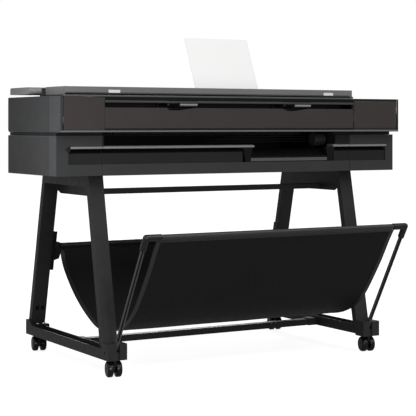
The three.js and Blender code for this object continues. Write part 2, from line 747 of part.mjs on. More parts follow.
// Rear cover: back wall and top strip with the slanted sheet slot.
const GUIDE_THICK = 4;
const GUIDE_TRAVEL = 60;
const SLOT_HALF = 7;
const SLOT_FLOOR = DECK - 20;
function sheetPlane(offset, z) {
  return SHEET_Y + (z - DECK) * Math.tan(SHEET_TILT) + offset / Math.cos(SHEET_TILT);
}
function slanted(x0, x1, front, back, z0, z1) {
  return alongX(
    [
      [sheetPlane(front, z0), z0],
      [sheetPlane(back, z0), z0],
      [sheetPlane(back, z1), z1],
      [sheetPlane(front, z1), z1],
    ],
    x0,
    x1,
  );
}
const SHEET_RIGHT = SHEET_LEFT + SHEET_WIDTH;
const SLOT_LEFT = SHEET_LEFT - GUIDE_THICK - 2 * GAP;
const SLOT_RIGHT = SHEET_RIGHT + GUIDE_THICK + GUIDE_TRAVEL + 2;
function rearCover() {
  const x0 = UPPER_SEAM_LEFT + GAP;
  const x1 = UPPER_SEAM_RIGHT - GAP;
  const trough = block(SLOT_LEFT - 10, SLOT_RIGHT + 10, REAR_STRIP_Y, SHEET_Y + 24,
    SLOT_FLOOR - 4, DECK - 2);
  return cut(
    join(
      block(x0, x1, CHASSIS_REAR - WALL, CHASSIS_REAR, UPPER_BOTTOM, DECK),
      block(x0, x1, REAR_STRIP_Y, CHASSIS_REAR, DECK - 6, DECK),
      block(x0, x0 + WALL, BODY_DEPTH + GAP, CHASSIS_REAR, UPPER_BOTTOM, DECK),
      block(x1 - WALL, x1, BODY_DEPTH + GAP, CHASSIS_REAR, UPPER_BOTTOM, DECK),
      trough,
    ),
    slanted(SLOT_LEFT, SLOT_RIGHT, -SLOT_HALF, SLOT_HALF, SLOT_FLOOR, DECK + 1),
  );
}
add("rear_cover", rearCover(), CHARCOAL);

function alongSheet(x0, x1, front, back, from, to) {
  const s = Math.sin(SHEET_TILT);
  const c = Math.cos(SHEET_TILT);
  const base = [sheetPlane(0, SLOT_FLOOR), SLOT_FLOOR];
  const p = (n, l) => [base[0] + n * c + l * s, base[1] - n * s + l * c];
  return alongX([p(front, from), p(back, from), p(back, to), p(front, to)], x0, x1);
}
const SHEET_REST = 2.5; // the stack's lower edge above the slot floor
const HALF_SHEET = SHEET_THICK / 2;
add("paper_sheets",
  alongSheet(SHEET_LEFT, SHEET_RIGHT, -HALF_SHEET, HALF_SHEET, SHEET_REST,
    SHEET_REST + SHEET_LENGTH), PAPER);

const SUPPORT_INSET = 60;
const SUPPORT_HEIGHT = 190;
add("sheet_support",
  alongSheet(SHEET_LEFT + SUPPORT_INSET, SHEET_RIGHT - SUPPORT_INSET, HALF_SHEET + GAP,
    HALF_SHEET + GAP + 2.5, SLOT_HALF * Math.tan(SHEET_TILT) + 0.3, SUPPORT_HEIGHT), CHARCOAL);

function sheetGuide(x0) {
  return alongSheet(x0, x0 + GUIDE_THICK, -SLOT_HALF + 1, SLOT_HALF - 1,
    SLOT_HALF * Math.tan(SHEET_TILT) + 0.3, 62);
}
add("sheet_guide_fixed", sheetGuide(SHEET_LEFT - GUIDE_THICK - GAP), BLACK);
add("sheet_guide_sliding", sheetGuide(SHEET_RIGHT + GAP), BLACK);

// Tilting touch panel with a round front nose about its pin.
function controlPanel() {
  const x0 = -HALF;
  const x1 = -HALF + PANEL_WIDTH;
  const top = PANEL_BOTTOM + PANEL_THICK;
  const round = 9;
  const profile = [
    ...arc(PANEL_PIVOT_Y, PANEL_PIVOT_Z, PANEL_NOSE, 90, 270, 12),
    [PANEL_REAR, PANEL_BOTTOM],
    [PANEL_REAR, top - round],
    ...arc(PANEL_REAR - round, top - round, round, 0, 90, 4).slice(1),
  ];
  const room = KNUCKLE_R + 1.5;
  return join(
    cut(
      alongX(profile, x0, x1),
      block(KNUCKLE_X - KNUCKLE_HALF - 1, KNUCKLE_X + KNUCKLE_HALF + 1, PANEL_FRONT - 1,
        PANEL_PIVOT_Y + room + 14, PANEL_BOTTOM - 1, PANEL_PIVOT_Z + room),
      screen(GAP),
      powerButton(GAP),
    ),
    rodX(PANEL_PIN_R, KNUCKLE_X - KNUCKLE_HALF - 2, KNUCKLE_X + KNUCKLE_HALF + 2,
      PANEL_PIVOT_Y, PANEL_PIVOT_Z, 16),
  );
}
const SCREEN_MARGIN = 10;
const SCREEN_THICK = 3;
function screen(margin) {
  const top = PANEL_BOTTOM + PANEL_THICK;
  return block(-HALF + SCREEN_MARGIN - margin, -HALF + PANEL_WIDTH - SCREEN_MARGIN + margin,
    PANEL_PIVOT_Y + 32 - margin, PANEL_REAR - 12 + margin, top - SCREEN_THICK - margin,
    top + 0.4 + margin);
}
const BUTTON_X = -HALF + PANEL_WIDTH - 22;
const BUTTON_Y = PANEL_PIVOT_Y + 17;
const BUTTON_R = 6;
const BUTTON_PROUD = 1.8;
const BUTTON_TRAVEL = 1.4;
function powerButton(margin) {
  const top = PANEL_BOTTOM + PANEL_THICK;
  const depth = margin ? BUTTON_TRAVEL + GAP : 0;
  return rodZ(BUTTON_R + margin, BUTTON_X, BUTTON_Y, top - 4 - depth, top + BUTTON_PROUD, 20);
}
add("control_panel", controlPanel(), LID_GREY);
add("control_screen", screen(0), GLASS);
add("power_button", powerButton(0), LIGHT_GREY);

// ---- Inside the body --------------------------------------------------------------
const RAIL_DEPTH = 30;
const RAIL_BOTTOM = UPPER_BOTTOM + 34;
const RAIL_HEIGHT = 40;
function carriageRail() {
  const x0 = -HALF + WALL + GAP;
  const x1 = HALF - WALL - GAP;
  return cut(
    block(x0, x1, RAIL_Y, RAIL_Y + RAIL_DEPTH, RAIL_BOTTOM, RAIL_BOTTOM + RAIL_HEIGHT),
    block(x0 - 1, x1 + 1, RAIL_Y + 3, RAIL_Y + RAIL_DEPTH + 1, RAIL_BOTTOM + 3,
      RAIL_BOTTOM + RAIL_HEIGHT - 3),
  );
}
add("carriage_rail", carriageRail(), STEEL);

const PLATEN_FRONT = 180;
const PLATEN_REAR = ROLLER_Y - FEED_R - 4;
const PLATEN_THICK = 6;
const PINCH_Z = ROLLER_Z + FEED_R + GAP + PINCH_R;

const CARRIAGE_X = 525;
const CARRIAGE_WIDTH = 120;
const CARRIAGE_DEPTH = 95;
const CARRIAGE_CLEAR = 4; // above the ears that hold the pinch roller
function printCarriage() {
  const x1 = CARRIAGE_X + CARRIAGE_WIDTH;
  const y0 = RAIL_Y - GAP - CARRIAGE_DEPTH;
  const z0 = PINCH_Z + 7 + CARRIAGE_CLEAR;
  const top = RAIL_BOTTOM + RAIL_HEIGHT;
  return join(
    block(CARRIAGE_X, x1, y0, RAIL_Y - GAP, z0, top + 4),
    block(CARRIAGE_X, x1, RAIL_Y - GAP - 1, RAIL_Y + RAIL_DEPTH - 4, top + GAP, top + 4),
  );
}
add("print_carriage", printCarriage(), BLACK);

function platen() {
  const x0 = CAVITY_LEFT - 10;
  const x1 = CAVITY_RIGHT + 10;
  const z1 = UPPER_BOTTOM + PLATEN_THICK;
  const ear = (a, b) => block(a, b, PLATEN_REAR - 20, ROLLER_Y + 8, UPPER_BOTTOM, PINCH_Z + 7);
  return cut(
    join(
      block(x0, x1, PLATEN_FRONT, PLATEN_REAR, UPPER_BOTTOM, z1),
      ear(x0, CAVITY_LEFT - 1),
      ear(CAVITY_RIGHT + 1, x1),
    ),
    rodX(JOURNAL_R + GAP, x0 - 1, x1 + 1, ROLLER_Y, PINCH_Z, 16),
  );
}
add("platen", platen(), GRAPHITE);

function roller(radius, z, journal) {
  return join(
    rodX(radius, CAVITY_LEFT + 4, CAVITY_RIGHT - 4, ROLLER_Y, z, 20),
    rodX(JOURNAL_R, CAVITY_LEFT - journal, CAVITY_RIGHT + journal, ROLLER_Y, z, 12),
  );
}
add("feed_roller", roller(FEED_R, ROLLER_Z, 9), BLACK);
add("pinch_roller", roller(PINCH_R, PINCH_Z, 9), STEEL);

function rollSpindle() {
  const x0 = LOWER_SEAM_LEFT + GAP + 2;
  const x1 = LOWER_SEAM_RIGHT - GAP - 2;
  const hubLeft = LOWER_SEAM_LEFT + 12;
  const hub = (x, turn) => join(
    rodX(HUB_R, x, x + 8, SPINDLE_Y, SPINDLE_Z_ABS, 32),
    rodX(25, turn > 0 ? x + 7 : x - 14, turn > 0 ? x + 22 : x + 1, SPINDLE_Y, SPINDLE_Z_ABS, 24),
  );
  return join(
    rodX(SPINDLE_R, x0, x1, SPINDLE_Y, SPINDLE_Z_ABS),
    hub(hubLeft, 1),
    hub(hubLeft + 8 + MEDIA_WIDTH, -1),
  );
}
add("roll_spindle", rollSpindle(), BLACK);

function inkCartridges() {
  const z0 = UPPER_BOTTOM + WALL + GAP;
  const x0 = DOOR_LEFT + 6;
  const count = 4;
  const pitch = (DOOR_RIGHT - DOOR_LEFT - 12) / count;
  const bodies = Array.from({ length: count }, (_, i) =>
    block(x0 + i * pitch + 3, x0 + (i + 1) * pitch - 3, 2, 110, z0 + 5, z0 + 92));
  return join(block(x0, x0 + count * pitch, -6, 120, z0, z0 + 6), ...bodies);
}
add("ink_cartridges", inkCartridges(), BLACK);

function mainBoard() {
  const z0 = UPPER_BOTTOM + WALL + GAP;
  const x0 = -HALF + 25;
  const x1 = UPPER_SEAM_LEFT - 20;
  const posts = [[x0 + 8, 98], [x1 - 8, 98], [x0 + 8, 272], [x1 - 8, 272]];
  return join(
    block(x0, x1, 90, 280, z0 + 6, z0 + 8),
    ...posts.map(([x, y]) => block(x - 4, x + 4, y - 4, y + 4, z0, z0 + 6.5)),
    block(x0 + 30, x0 + 70, 130, 170, z0 + 7, z0 + 12),
  );
}
add("main_board", mainBoard(), BOARD);

const SUPPLY_FRONT = 200;
add("power_supply",
  block(-HALF + 20, LOWER_SEAM_LEFT - 20, SUPPLY_FRONT, BODY_DEPTH - 30, BODY_BOTTOM + WALL + GAP,
    BODY_BOTTOM + WALL + 38), STEEL);

function powerInlet() {
  const z = BODY_BOTTOM + INLET_Z;
  const shell = block(INLET_X - INLET_WIDTH / 2, INLET_X + INLET_WIDTH / 2, BODY_DEPTH - 28,
    BODY_DEPTH - 0.5, z, z + INLET_HEIGHT);
  const well = block(INLET_X - 14, INLET_X + 14, BODY_DEPTH - 22, BODY_DEPTH, z + 4, z + 24);
  const pins = [-8, 0, 8].map((x) =>
    block(INLET_X + x - 1, INLET_X + x + 1, BODY_DEPTH - 23, BODY_DEPTH - 8, z + 12, z + 16));
  return join(cut(shell, well), ...pins);
}
add("power_inlet", powerInlet(), BLACK);

// ---- Stand ------------------------------------------------------------------------
const frontFace = (z) => FRONT_LEG_TOP_Y - (LEG_TOP - z) * FRONT_LEG_SLOPE;
const rearFace = (z) => REAR_LEG_TOP_Y + (LEG_TOP - z) * REAR_LEG_SLOPE;

function legFrame(side) {
  const x0 = side * STAND_X - LEG_WIDTH / 2;
  const x1 = side * STAND_X + LEG_WIDTH / 2;
  const frontRun = LEG_THICK * Math.hypot(1, FRONT_LEG_SLOPE);
  const rearRun = LEG_THICK * Math.hypot(1, REAR_LEG_SLOPE);
  const frontFoot = FOOT_BAR_TOP + GAP;
  const rearFoot = REAR_SEAT + GAP;
  const frontLeg = (wall, low, high) => alongX(
    [
      [frontFace(high) + wall, high],
      [frontFace(low) + wall, low],
      [frontFace(low) + frontRun - wall, low],
      [frontFace(high) + frontRun - wall, high],
    ], x0 + wall, x1 - wall);
  const rearLeg = (wall, low, high) => alongX(
    [
      [rearFace(high) - rearRun + wall, high],
      [rearFace(low) - rearRun + wall, low],
      [rearFace(low) - wall, low],
      [rearFace(high) - wall, high],
    ], x0 + wall, x1 - wall);
  const railBottom = LEG_TOP - TOP_RAIL_HEIGHT;
  const topRail = block(x0, x1, frontFace(railBottom) + frontRun - 6, rearFace(railBottom) - rearRun + 6,
    railBottom, LEG_TOP);
  const inner = side < 0 ? [x1 - GUSSET_THICK, x1] : [x0, x0 + GUSSET_THICK];
  const low = railBottom - GUSSET_DROP;
  const gusset = alongX(
    [
      [frontFace(railBottom) + frontRun - 8, railBottom + 2],
      [frontFace(low + 16) + frontRun - 8, low + 16],
      [frontFace(low) + frontRun + 20, low],
      [rearFace(low) - rearRun - 40, low],
      [rearFace(low + 16) - rearRun + 8, low + 16],
      [rearFace(railBottom) - rearRun + 8, railBottom + 2],
    ], inner[0], inner[1]);
  const tubeTop = railBottom + LEG_WALL;
  return cut(
    join(frontLeg(0, frontFoot, LEG_TOP), rearLeg(0, rearFoot, LEG_TOP), topRail, gusset),
    frontLeg(LEG_WALL, frontFoot - 1, tubeTop),
    rearLeg(LEG_WALL, rearFoot - 1, tubeTop),
    block(x0 + LEG_WALL, x1 - LEG_WALL, frontFace(tubeTop) + LEG_WALL + 8,
      rearFace(tubeTop) - LEG_WALL - 8, tubeTop, LEG_TOP + 1),
  );
}
add("left_leg_frame", legFrame(-1), STEEL_PAINT);
add("right_leg_frame", legFrame(1), STEEL_PAINT);

const stemX = (side) => side * STAND_X;
const FRONT_STEM_Y = FOOT_FRONT + STEM_FROM_END;
const REAR_STEM_Y = FOOT_REAR - REAR_STEM_FROM_END;

function foot(side) {
  const x = side * STAND_X;
  const slotX = side * ROD_X;
  const half = FOOT_BLOCK_WIDTH / 2;
  const out = side * (STAND_X + half);
  const [bar0, bar1] = side < 0 ? [out, out + FOOT_BAR_WIDTH] : [out - FOOT_BAR_WIDTH, out];
  const frontEnd = frontFace(FOOT_BAR_TOP) - 1;
  const rearStart = FOOT_REAR - FOOT_REAR_BLOCK;
  const z0 = FOOT_BOTTOM;
  const slotFloor = BIN_PIVOT_Z - ROD_R - 4;
  const bar = cut(
    block(bar0, bar1, frontEnd - 1, rearStart + 1, z0, FOOT_BAR_TOP),
    block(bar0 + FOOT_BAR_WALL, bar1 - FOOT_BAR_WALL, frontEnd, rearStart,
      z0 + FOOT_BAR_WALL, FOOT_BAR_TOP + 1),
  );
  const cheek = alongX(
    [
      [REAR_SEAT_FRONT, REAR_SEAT - 1],
      [REAR_SEAT_FRONT, REAR_SEAT],
      [REAR_SEAT_FRONT + 22, FOOT_BLOCK_TOP],
      [FOOT_REAR, FOOT_BLOCK_TOP],
      [FOOT_REAR, REAR_SEAT - 1],
    ], side < 0 ? out : out - CHEEK_THICK, side < 0 ? out + CHEEK_THICK : out);
  return cut(
    join(
      block(x - half, x + half, FOOT_FRONT, frontEnd, z0, FOOT_BLOCK_TOP),
      block(x - half, x + half, rearStart, FOOT_REAR, z0, REAR_SEAT),
      block(x - half, x + half, FOOT_REAR - REAR_WALL, FOOT_REAR, z0, FOOT_BLOCK_TOP),
      cheek,
      bar,
    ),
    block(slotX - FOOT_SLOT / 2, slotX + FOOT_SLOT / 2, FOOT_FRONT - 1, frontEnd - 10, slotFloor,
      FOOT_BLOCK_TOP + 1),
    block(slotX - FOOT_SLOT / 2, slotX + FOOT_SLOT / 2, FOOT_FRONT - 1, FOOT_FRONT + 6, z0 - 1,
      slotFloor + 1),
    rodX(PIVOT_PIN_R + GAP, slotX - PIVOT_REACH - 1, slotX + PIVOT_REACH + 1, BIN_PIVOT_Y,
      BIN_PIVOT_Z, 16),
    rodZ(STEM_R + GAP, stemX(side), FRONT_STEM_Y, z0 - 1, z0 + STEM_HEIGHT + GAP),
    rodZ(STEM_R + GAP, stemX(side), REAR_STEM_Y, z0 - 1, z0 + STEM_HEIGHT + GAP),
  );
}
const REAR_SEAT_FRONT = FOOT_REAR - 50;
const REAR_WALL = 3.5;
const CHEEK_THICK = FOOT_BLOCK_WIDTH / 2 - LEG_WIDTH / 2 - 0.5;
const PIVOT_PIN_R = 4;
const PIVOT_REACH = 14;
const STEM_HEIGHT = 18;
add("left_foot", foot(-1), STEEL_PAINT);
add("right_foot", foot(1), STEEL_PAINT);

function crossBars() {
  const inner = STAND_X - LEG_WIDTH / 2 - GAP;
  const upperZ = LEG_TOP - TOP_RAIL_HEIGHT - GUSSET_DROP + 4;
  add("upper_cross_bar", block(-inner, inner, UPPER_BAR_Y, UPPER_BAR_Y + UPPER_BAR_DEPTH, upperZ,
    upperZ + UPPER_BAR_HEIGHT), STEEL_PAINT);
  const footInner = STAND_X + FOOT_BLOCK_WIDTH / 2 - FOOT_BAR_WIDTH - GAP;
  const z = FOOT_BOTTOM + 1;
  const plate = (x0, x1) => block(x0, x1, LOWER_BAR_Y - 4, LOWER_BAR_Y + LOWER_BAR_DEPTH + 4, z - 1,
    z + LOWER_BAR_HEIGHT + 4);
  add("lower_cross_bar", join(
    block(-footInner, footInner, LOWER_BAR_Y, LOWER_BAR_Y + LOWER_BAR_DEPTH, z, z + LOWER_BAR_HEIGHT),
    plate(-footInner, -footInner + 35),
    plate(footInner - 35, footInner),
  ), STEEL_PAINT);
}
crossBars();

// ---- Casters ----------------------------------------------------------------------
// Built about the stem at the origin with the wheels behind it, then turned and placed.
function casterParts() {
  const web = WHEEL_WEB / 2 - GAP - 0.2;
  const top = FOOT_BOTTOM - GAP;
  const neck = WHEEL_R * 2 + 1.2;
  const hood = alongX(
    [
      ...arc(CASTER_TRAIL, WHEEL_R, 13, -180, 0, 8),
      [CASTER_TRAIL + 13, neck + 1],
      [-7, neck + 1],
      [-7, WHEEL_R + 16],
    ], -web, web);
  const housing = cut(
    join(hood, rodZ(19, 0, CASTER_TRAIL / 2, neck, top, 20), rodZ(STEM_R, 0, 0, neck, FOOT_BOTTOM + STEM_HEIGHT)),
    rodX(AXLE_R + GAP, -web - 1, web + 1, CASTER_TRAIL, WHEEL_R, 16),
  );
  const side = WHEEL_WEB / 2;
  const rim = (x0, x1, out) => {
    const bevel = 3;
    const [a, b] = out > 0 ? [x0, x1 - bevel] : [x0 + bevel, x1];
    const cone = new THREE.CylinderGeometry(WHEEL_R - bevel, WHEEL_R, bevel, 24);
    cone.rotateZ(-Math.PI / 2 * out).translate(out > 0 ? b + bevel / 2 : a - bevel / 2,
      CASTER_TRAIL, WHEEL_R);
    return join(rodX(WHEEL_R, a, b, CASTER_TRAIL, WHEEL_R), solid(cone));
  };
  const wheels = join(
    rodX(AXLE_R, -side - 1, side + 1, CASTER_TRAIL, WHEEL_R, 16),
    rim(side, side + WHEEL_THICK, 1),
    rim(-side - WHEEL_THICK, -side, -1),
  );
  return { housing, wheels };
}

function placeCaster(name, x, y, yaw) {
  const { housing, wheels } = casterParts();
  for (const [part, body, material] of [
    ["caster_fork_", housing, BLACK],
    ["caster_wheels_", wheels, BLACK],
  ]) {
    const mesh = new THREE.Mesh(geometryOf(body), material);
    mesh.name = part + name;
    mesh.position.set(x, y, 0);
    mesh.rotation.z = THREE.MathUtils.degToRad(yaw);
    plotter.add(mesh);
  }
}
placeCaster("front_left", stemX(-1), FRONT_STEM_Y, CASTER_YAW);
placeCaster("front_right", stemX(1), FRONT_STEM_Y, CASTER_YAW);
placeCaster("rear_left", stemX(-1), REAR_STEM_Y, 180 + CASTER_YAW);
placeCaster("rear_right", stemX(1), REAR_STEM_Y, 180 + CASTER_YAW);

// ---- Print bin --------------------------------------------------------------------
// Points in the rods' own line: n across it (positive to the rear), l along it.
function rodPoint(n, l) {
  const s = Math.sin(ROD_LEAN);
  const c = Math.cos(ROD_LEAN);
  return [BIN_PIVOT_Y + n * c + l * s, BIN_PIVOT_Z - n * s + l * c];
}
function alongRod(radius, x, from, to, sides = 20) {
  const rod = new THREE.CylinderGeometry(radius, radius, to - from, sides);
  rod.rotateX(Math.PI / 2).translate(0, 0, (from + to) / 2);
  rod.rotateX(-ROD_LEAN).translate(x, BIN_PIVOT_Y, BIN_PIVOT_Z);
  return solid(rod);
}
const TONGUE = 30;
const ROD_END = ROD_LENGTH - 12;
function sideRod(side) {
  const x = side * ROD_X;
  const half = FOOT_SLOT / 2 - 1;
  const nose = Array.from({ length: 9 }, (_, i) => {
    const a = Math.PI * (1 + i / 8);
    return rodPoint(ROD_R * Math.cos(a), ROD_R * Math.sin(a));
  });
  return join(
    alongRod(ROD_R, x, TONGUE, ROD_END),
    alongX([...nose, rodPoint(ROD_R, TONGUE + 1), rodPoint(-ROD_R, TONGUE + 1)], x - half, x + half),
    rodX(PIVOT_PIN_R, x - PIVOT_REACH, x + PIVOT_REACH, BIN_PIVOT_Y, BIN_PIVOT_Z, 16),
  );
}
add("bin_rod_left", sideRod(-1), STEEL_PAINT);
add("bin_rod_right", sideRod(1), STEEL_PAINT);

const ELBOW_SLEEVE = 45;
function elbow(side) {
  const x = side * ROD_X;
  const inn = side * (HEM_HALF + GAP);
  const [a, b] = side < 0 ? [x, inn] : [inn, x];
  const corner = new THREE.SphereGeometry(ELBOW_R, 20, 12);
  corner.rotateZ(Math.PI / 2).translate(x, BIN_TOP_Y, BIN_TOP_Z);
  const tubeEnd = side * (ROD_X - 5);
  const [t0, t1] = side < 0 ? [tubeEnd, inn + 1] : [inn - 1, tubeEnd];
  return cut(
    join(
      rodX(ELBOW_R, a, b, BIN_TOP_Y, BIN_TOP_Z, 20),
      solid(corner),
      alongRod(ELBOW_R, x, ROD_LENGTH - ELBOW_SLEEVE, ROD_LENGTH),
    ),
    rodX(TUBE_R + GAP, t0, t1, BIN_TOP_Y, BIN_TOP_Z, 20),
    alongRod(ROD_R + GAP, x, ROD_LENGTH - ELBOW_SLEEVE - 1, ROD_END + GAP),
  );
}
add("bin_elbow_left", elbow(-1), BLACK);
add("bin_elbow_right", elbow(1), BLACK);

const TUBE_END = ROD_X - 5 - GAP;
add("bin_front_tube", rodX(TUBE_R, -TUBE_END, TUBE_END, BIN_TOP_Y, BIN_TOP_Z, 20), STEEL_PAINT);

const HEM_IN = TUBE_R + 0.5;
const HEM_OUT = HEM_IN + HEM_THICK;
add("bin_front_hem",
  cut(
    rodX(HEM_OUT, -HEM_HALF, HEM_HALF, BIN_TOP_Y, BIN_TOP_Z, 24),
    rodX(HEM_IN, -HEM_HALF - 1, HEM_HALF + 1, BIN_TOP_Y, BIN_TOP_Z, 24),
  ), FABRIC);

// The sling hangs from just below the front hem to a sleeve around the rear rod.
function sling() {
  const start = [BIN_TOP_Y + 7.5, BIN_TOP_Z - HEM_OUT - 1];
  const path = new THREE.SplineCurve(
    [start, [-262, 424], [-219, 354], [-170, 284], [-127, 228], [-85, 189], [-41, 161], [20, 138],
      [80, 128], [140, 131], [200, 149], [285, 191], [363, 245], [428, 307], [456, 352],
      [REAR_ROD_Y, REAR_ROD_Z - HEM_IN - 1]].map(([y, z]) => new THREE.Vector2(y, z)),
  );
  const steps = 30;
  const outer = [];
  const inner = [];
  for (let i = 0; i <= steps; i++) {
    const p = path.getPoint(i / steps);
    const t = path.getTangent(i / steps);
    const n = new THREE.Vector2(-t.y, t.x).multiplyScalar(SLING_THICK / 2);
    outer.push([p.x - n.x, p.y - n.y]);
    inner.unshift([p.x + n.x, p.y + n.y]);
  }
  return cut(
    join(
      alongX([...outer, ...inner], -SLING_HALF, SLING_HALF),
      rodX(HEM_OUT, -SLING_HALF, SLING_HALF, REAR_ROD_Y, REAR_ROD_Z, 24),
    ),
    rodX(HEM_IN, -SLING_HALF - 1, SLING_HALF + 1, REAR_ROD_Y, REAR_ROD_Z, 24),
  );
}
add("bin_sling", sling(), FABRIC);

const BRACKET_THICK = 10;
const LEG_INNER = STAND_X - LEG_WIDTH / 2;
function rearBracket(side) {
  const y = (z) => rearFace(z) - LEG_THICK * Math.hypot(1, REAR_LEG_SLOPE);
  const z = REAR_ROD_Z;
  const far = LEG_INNER - GAP;
  const near = far - BRACKET_THICK;
  const [x0, x1] = side < 0 ? [-far, -near] : [near, far];
  return cut(
    alongX(
      [
        [y(z + 50) - 10, z + 50],
        [y(z + 50) + 18, z + 50],
        [y(z - 94) + 18, z - 94],
        [y(z - 94) - 6, z - 94],
        [y(z - 60) - 6, z - 58],
        [REAR_ROD_Y - 4, z - 48],
        [REAR_ROD_Y - 16, z - 30],
        [REAR_ROD_Y - 16, z + 8],
        [REAR_ROD_Y - 8, z + 14],
        [y(z + 14) - 10, z + 14],
      ], x0, x1),
    rodX(TUBE_R + GAP, x0 - 1, x1 + 1, REAR_ROD_Y, REAR_ROD_Z, 20),
  );
}
add("bin_bracket_left", rearBracket(-1), BLACK);
add("bin_bracket_right", rearBracket(1), BLACK);
add("bin_rear_rod", rodX(TUBE_R, -LEG_INNER + 1, LEG_INNER - 1, REAR_ROD_Y, REAR_ROD_Z, 20), STEEL_PAINT);

// ---- Bring the origin to the bottom centre ----------------------------------------
plotter.updateMatrixWorld(true);
const box = new THREE.Box3().setFromObject(plotter, true);
plotter.position.set(-(box.min.x + box.max.x) / 2, -(box.min.y + box.max.y) / 2, -box.min.z);
plotter.updateMatrixWorld(true);

export default plotter;
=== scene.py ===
# Large format plotter on a wheeled stand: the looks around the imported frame.
#
# The frame is in metres. Small details are written in design millimetres, with X = 0 in the
# middle, Y = 0 on the lower front face and Z = 0 on the floor, and mm() turns those into it.
import json
import math

import bmesh
import bpy
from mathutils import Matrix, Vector


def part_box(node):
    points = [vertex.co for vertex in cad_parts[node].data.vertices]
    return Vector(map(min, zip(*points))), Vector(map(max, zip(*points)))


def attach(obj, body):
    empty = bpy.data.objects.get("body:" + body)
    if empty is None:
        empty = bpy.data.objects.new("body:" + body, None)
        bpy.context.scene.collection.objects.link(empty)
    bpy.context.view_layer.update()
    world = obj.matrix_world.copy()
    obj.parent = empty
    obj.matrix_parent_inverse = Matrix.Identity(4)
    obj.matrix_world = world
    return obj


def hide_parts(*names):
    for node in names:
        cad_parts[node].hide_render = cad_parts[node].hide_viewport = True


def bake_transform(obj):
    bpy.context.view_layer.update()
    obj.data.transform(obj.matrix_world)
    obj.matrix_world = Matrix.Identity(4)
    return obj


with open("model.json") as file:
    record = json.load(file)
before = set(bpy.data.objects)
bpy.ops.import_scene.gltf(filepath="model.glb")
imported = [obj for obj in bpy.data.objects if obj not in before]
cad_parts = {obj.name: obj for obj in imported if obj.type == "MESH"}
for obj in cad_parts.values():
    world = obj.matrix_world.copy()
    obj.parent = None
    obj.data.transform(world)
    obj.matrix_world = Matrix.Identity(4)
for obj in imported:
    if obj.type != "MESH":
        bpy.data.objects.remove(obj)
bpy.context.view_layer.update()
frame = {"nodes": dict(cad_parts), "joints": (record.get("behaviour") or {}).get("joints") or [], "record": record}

FRONT_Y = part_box("lower_front_panel")[0].y
HALF_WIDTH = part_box("right_lower_cover")[1].x
LOWER_Z0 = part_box("lower_front_panel")[0].z
UPPER_Z0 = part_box("right_upper_cover")[0].z
DECK_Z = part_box("right_upper_cover")[1].z
UPPER_Y0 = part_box("right_upper_cover")[0].y


def mm(x, y, z):
    return Vector((x / 1000, y / 1000 + FRONT_Y, z / 1000))


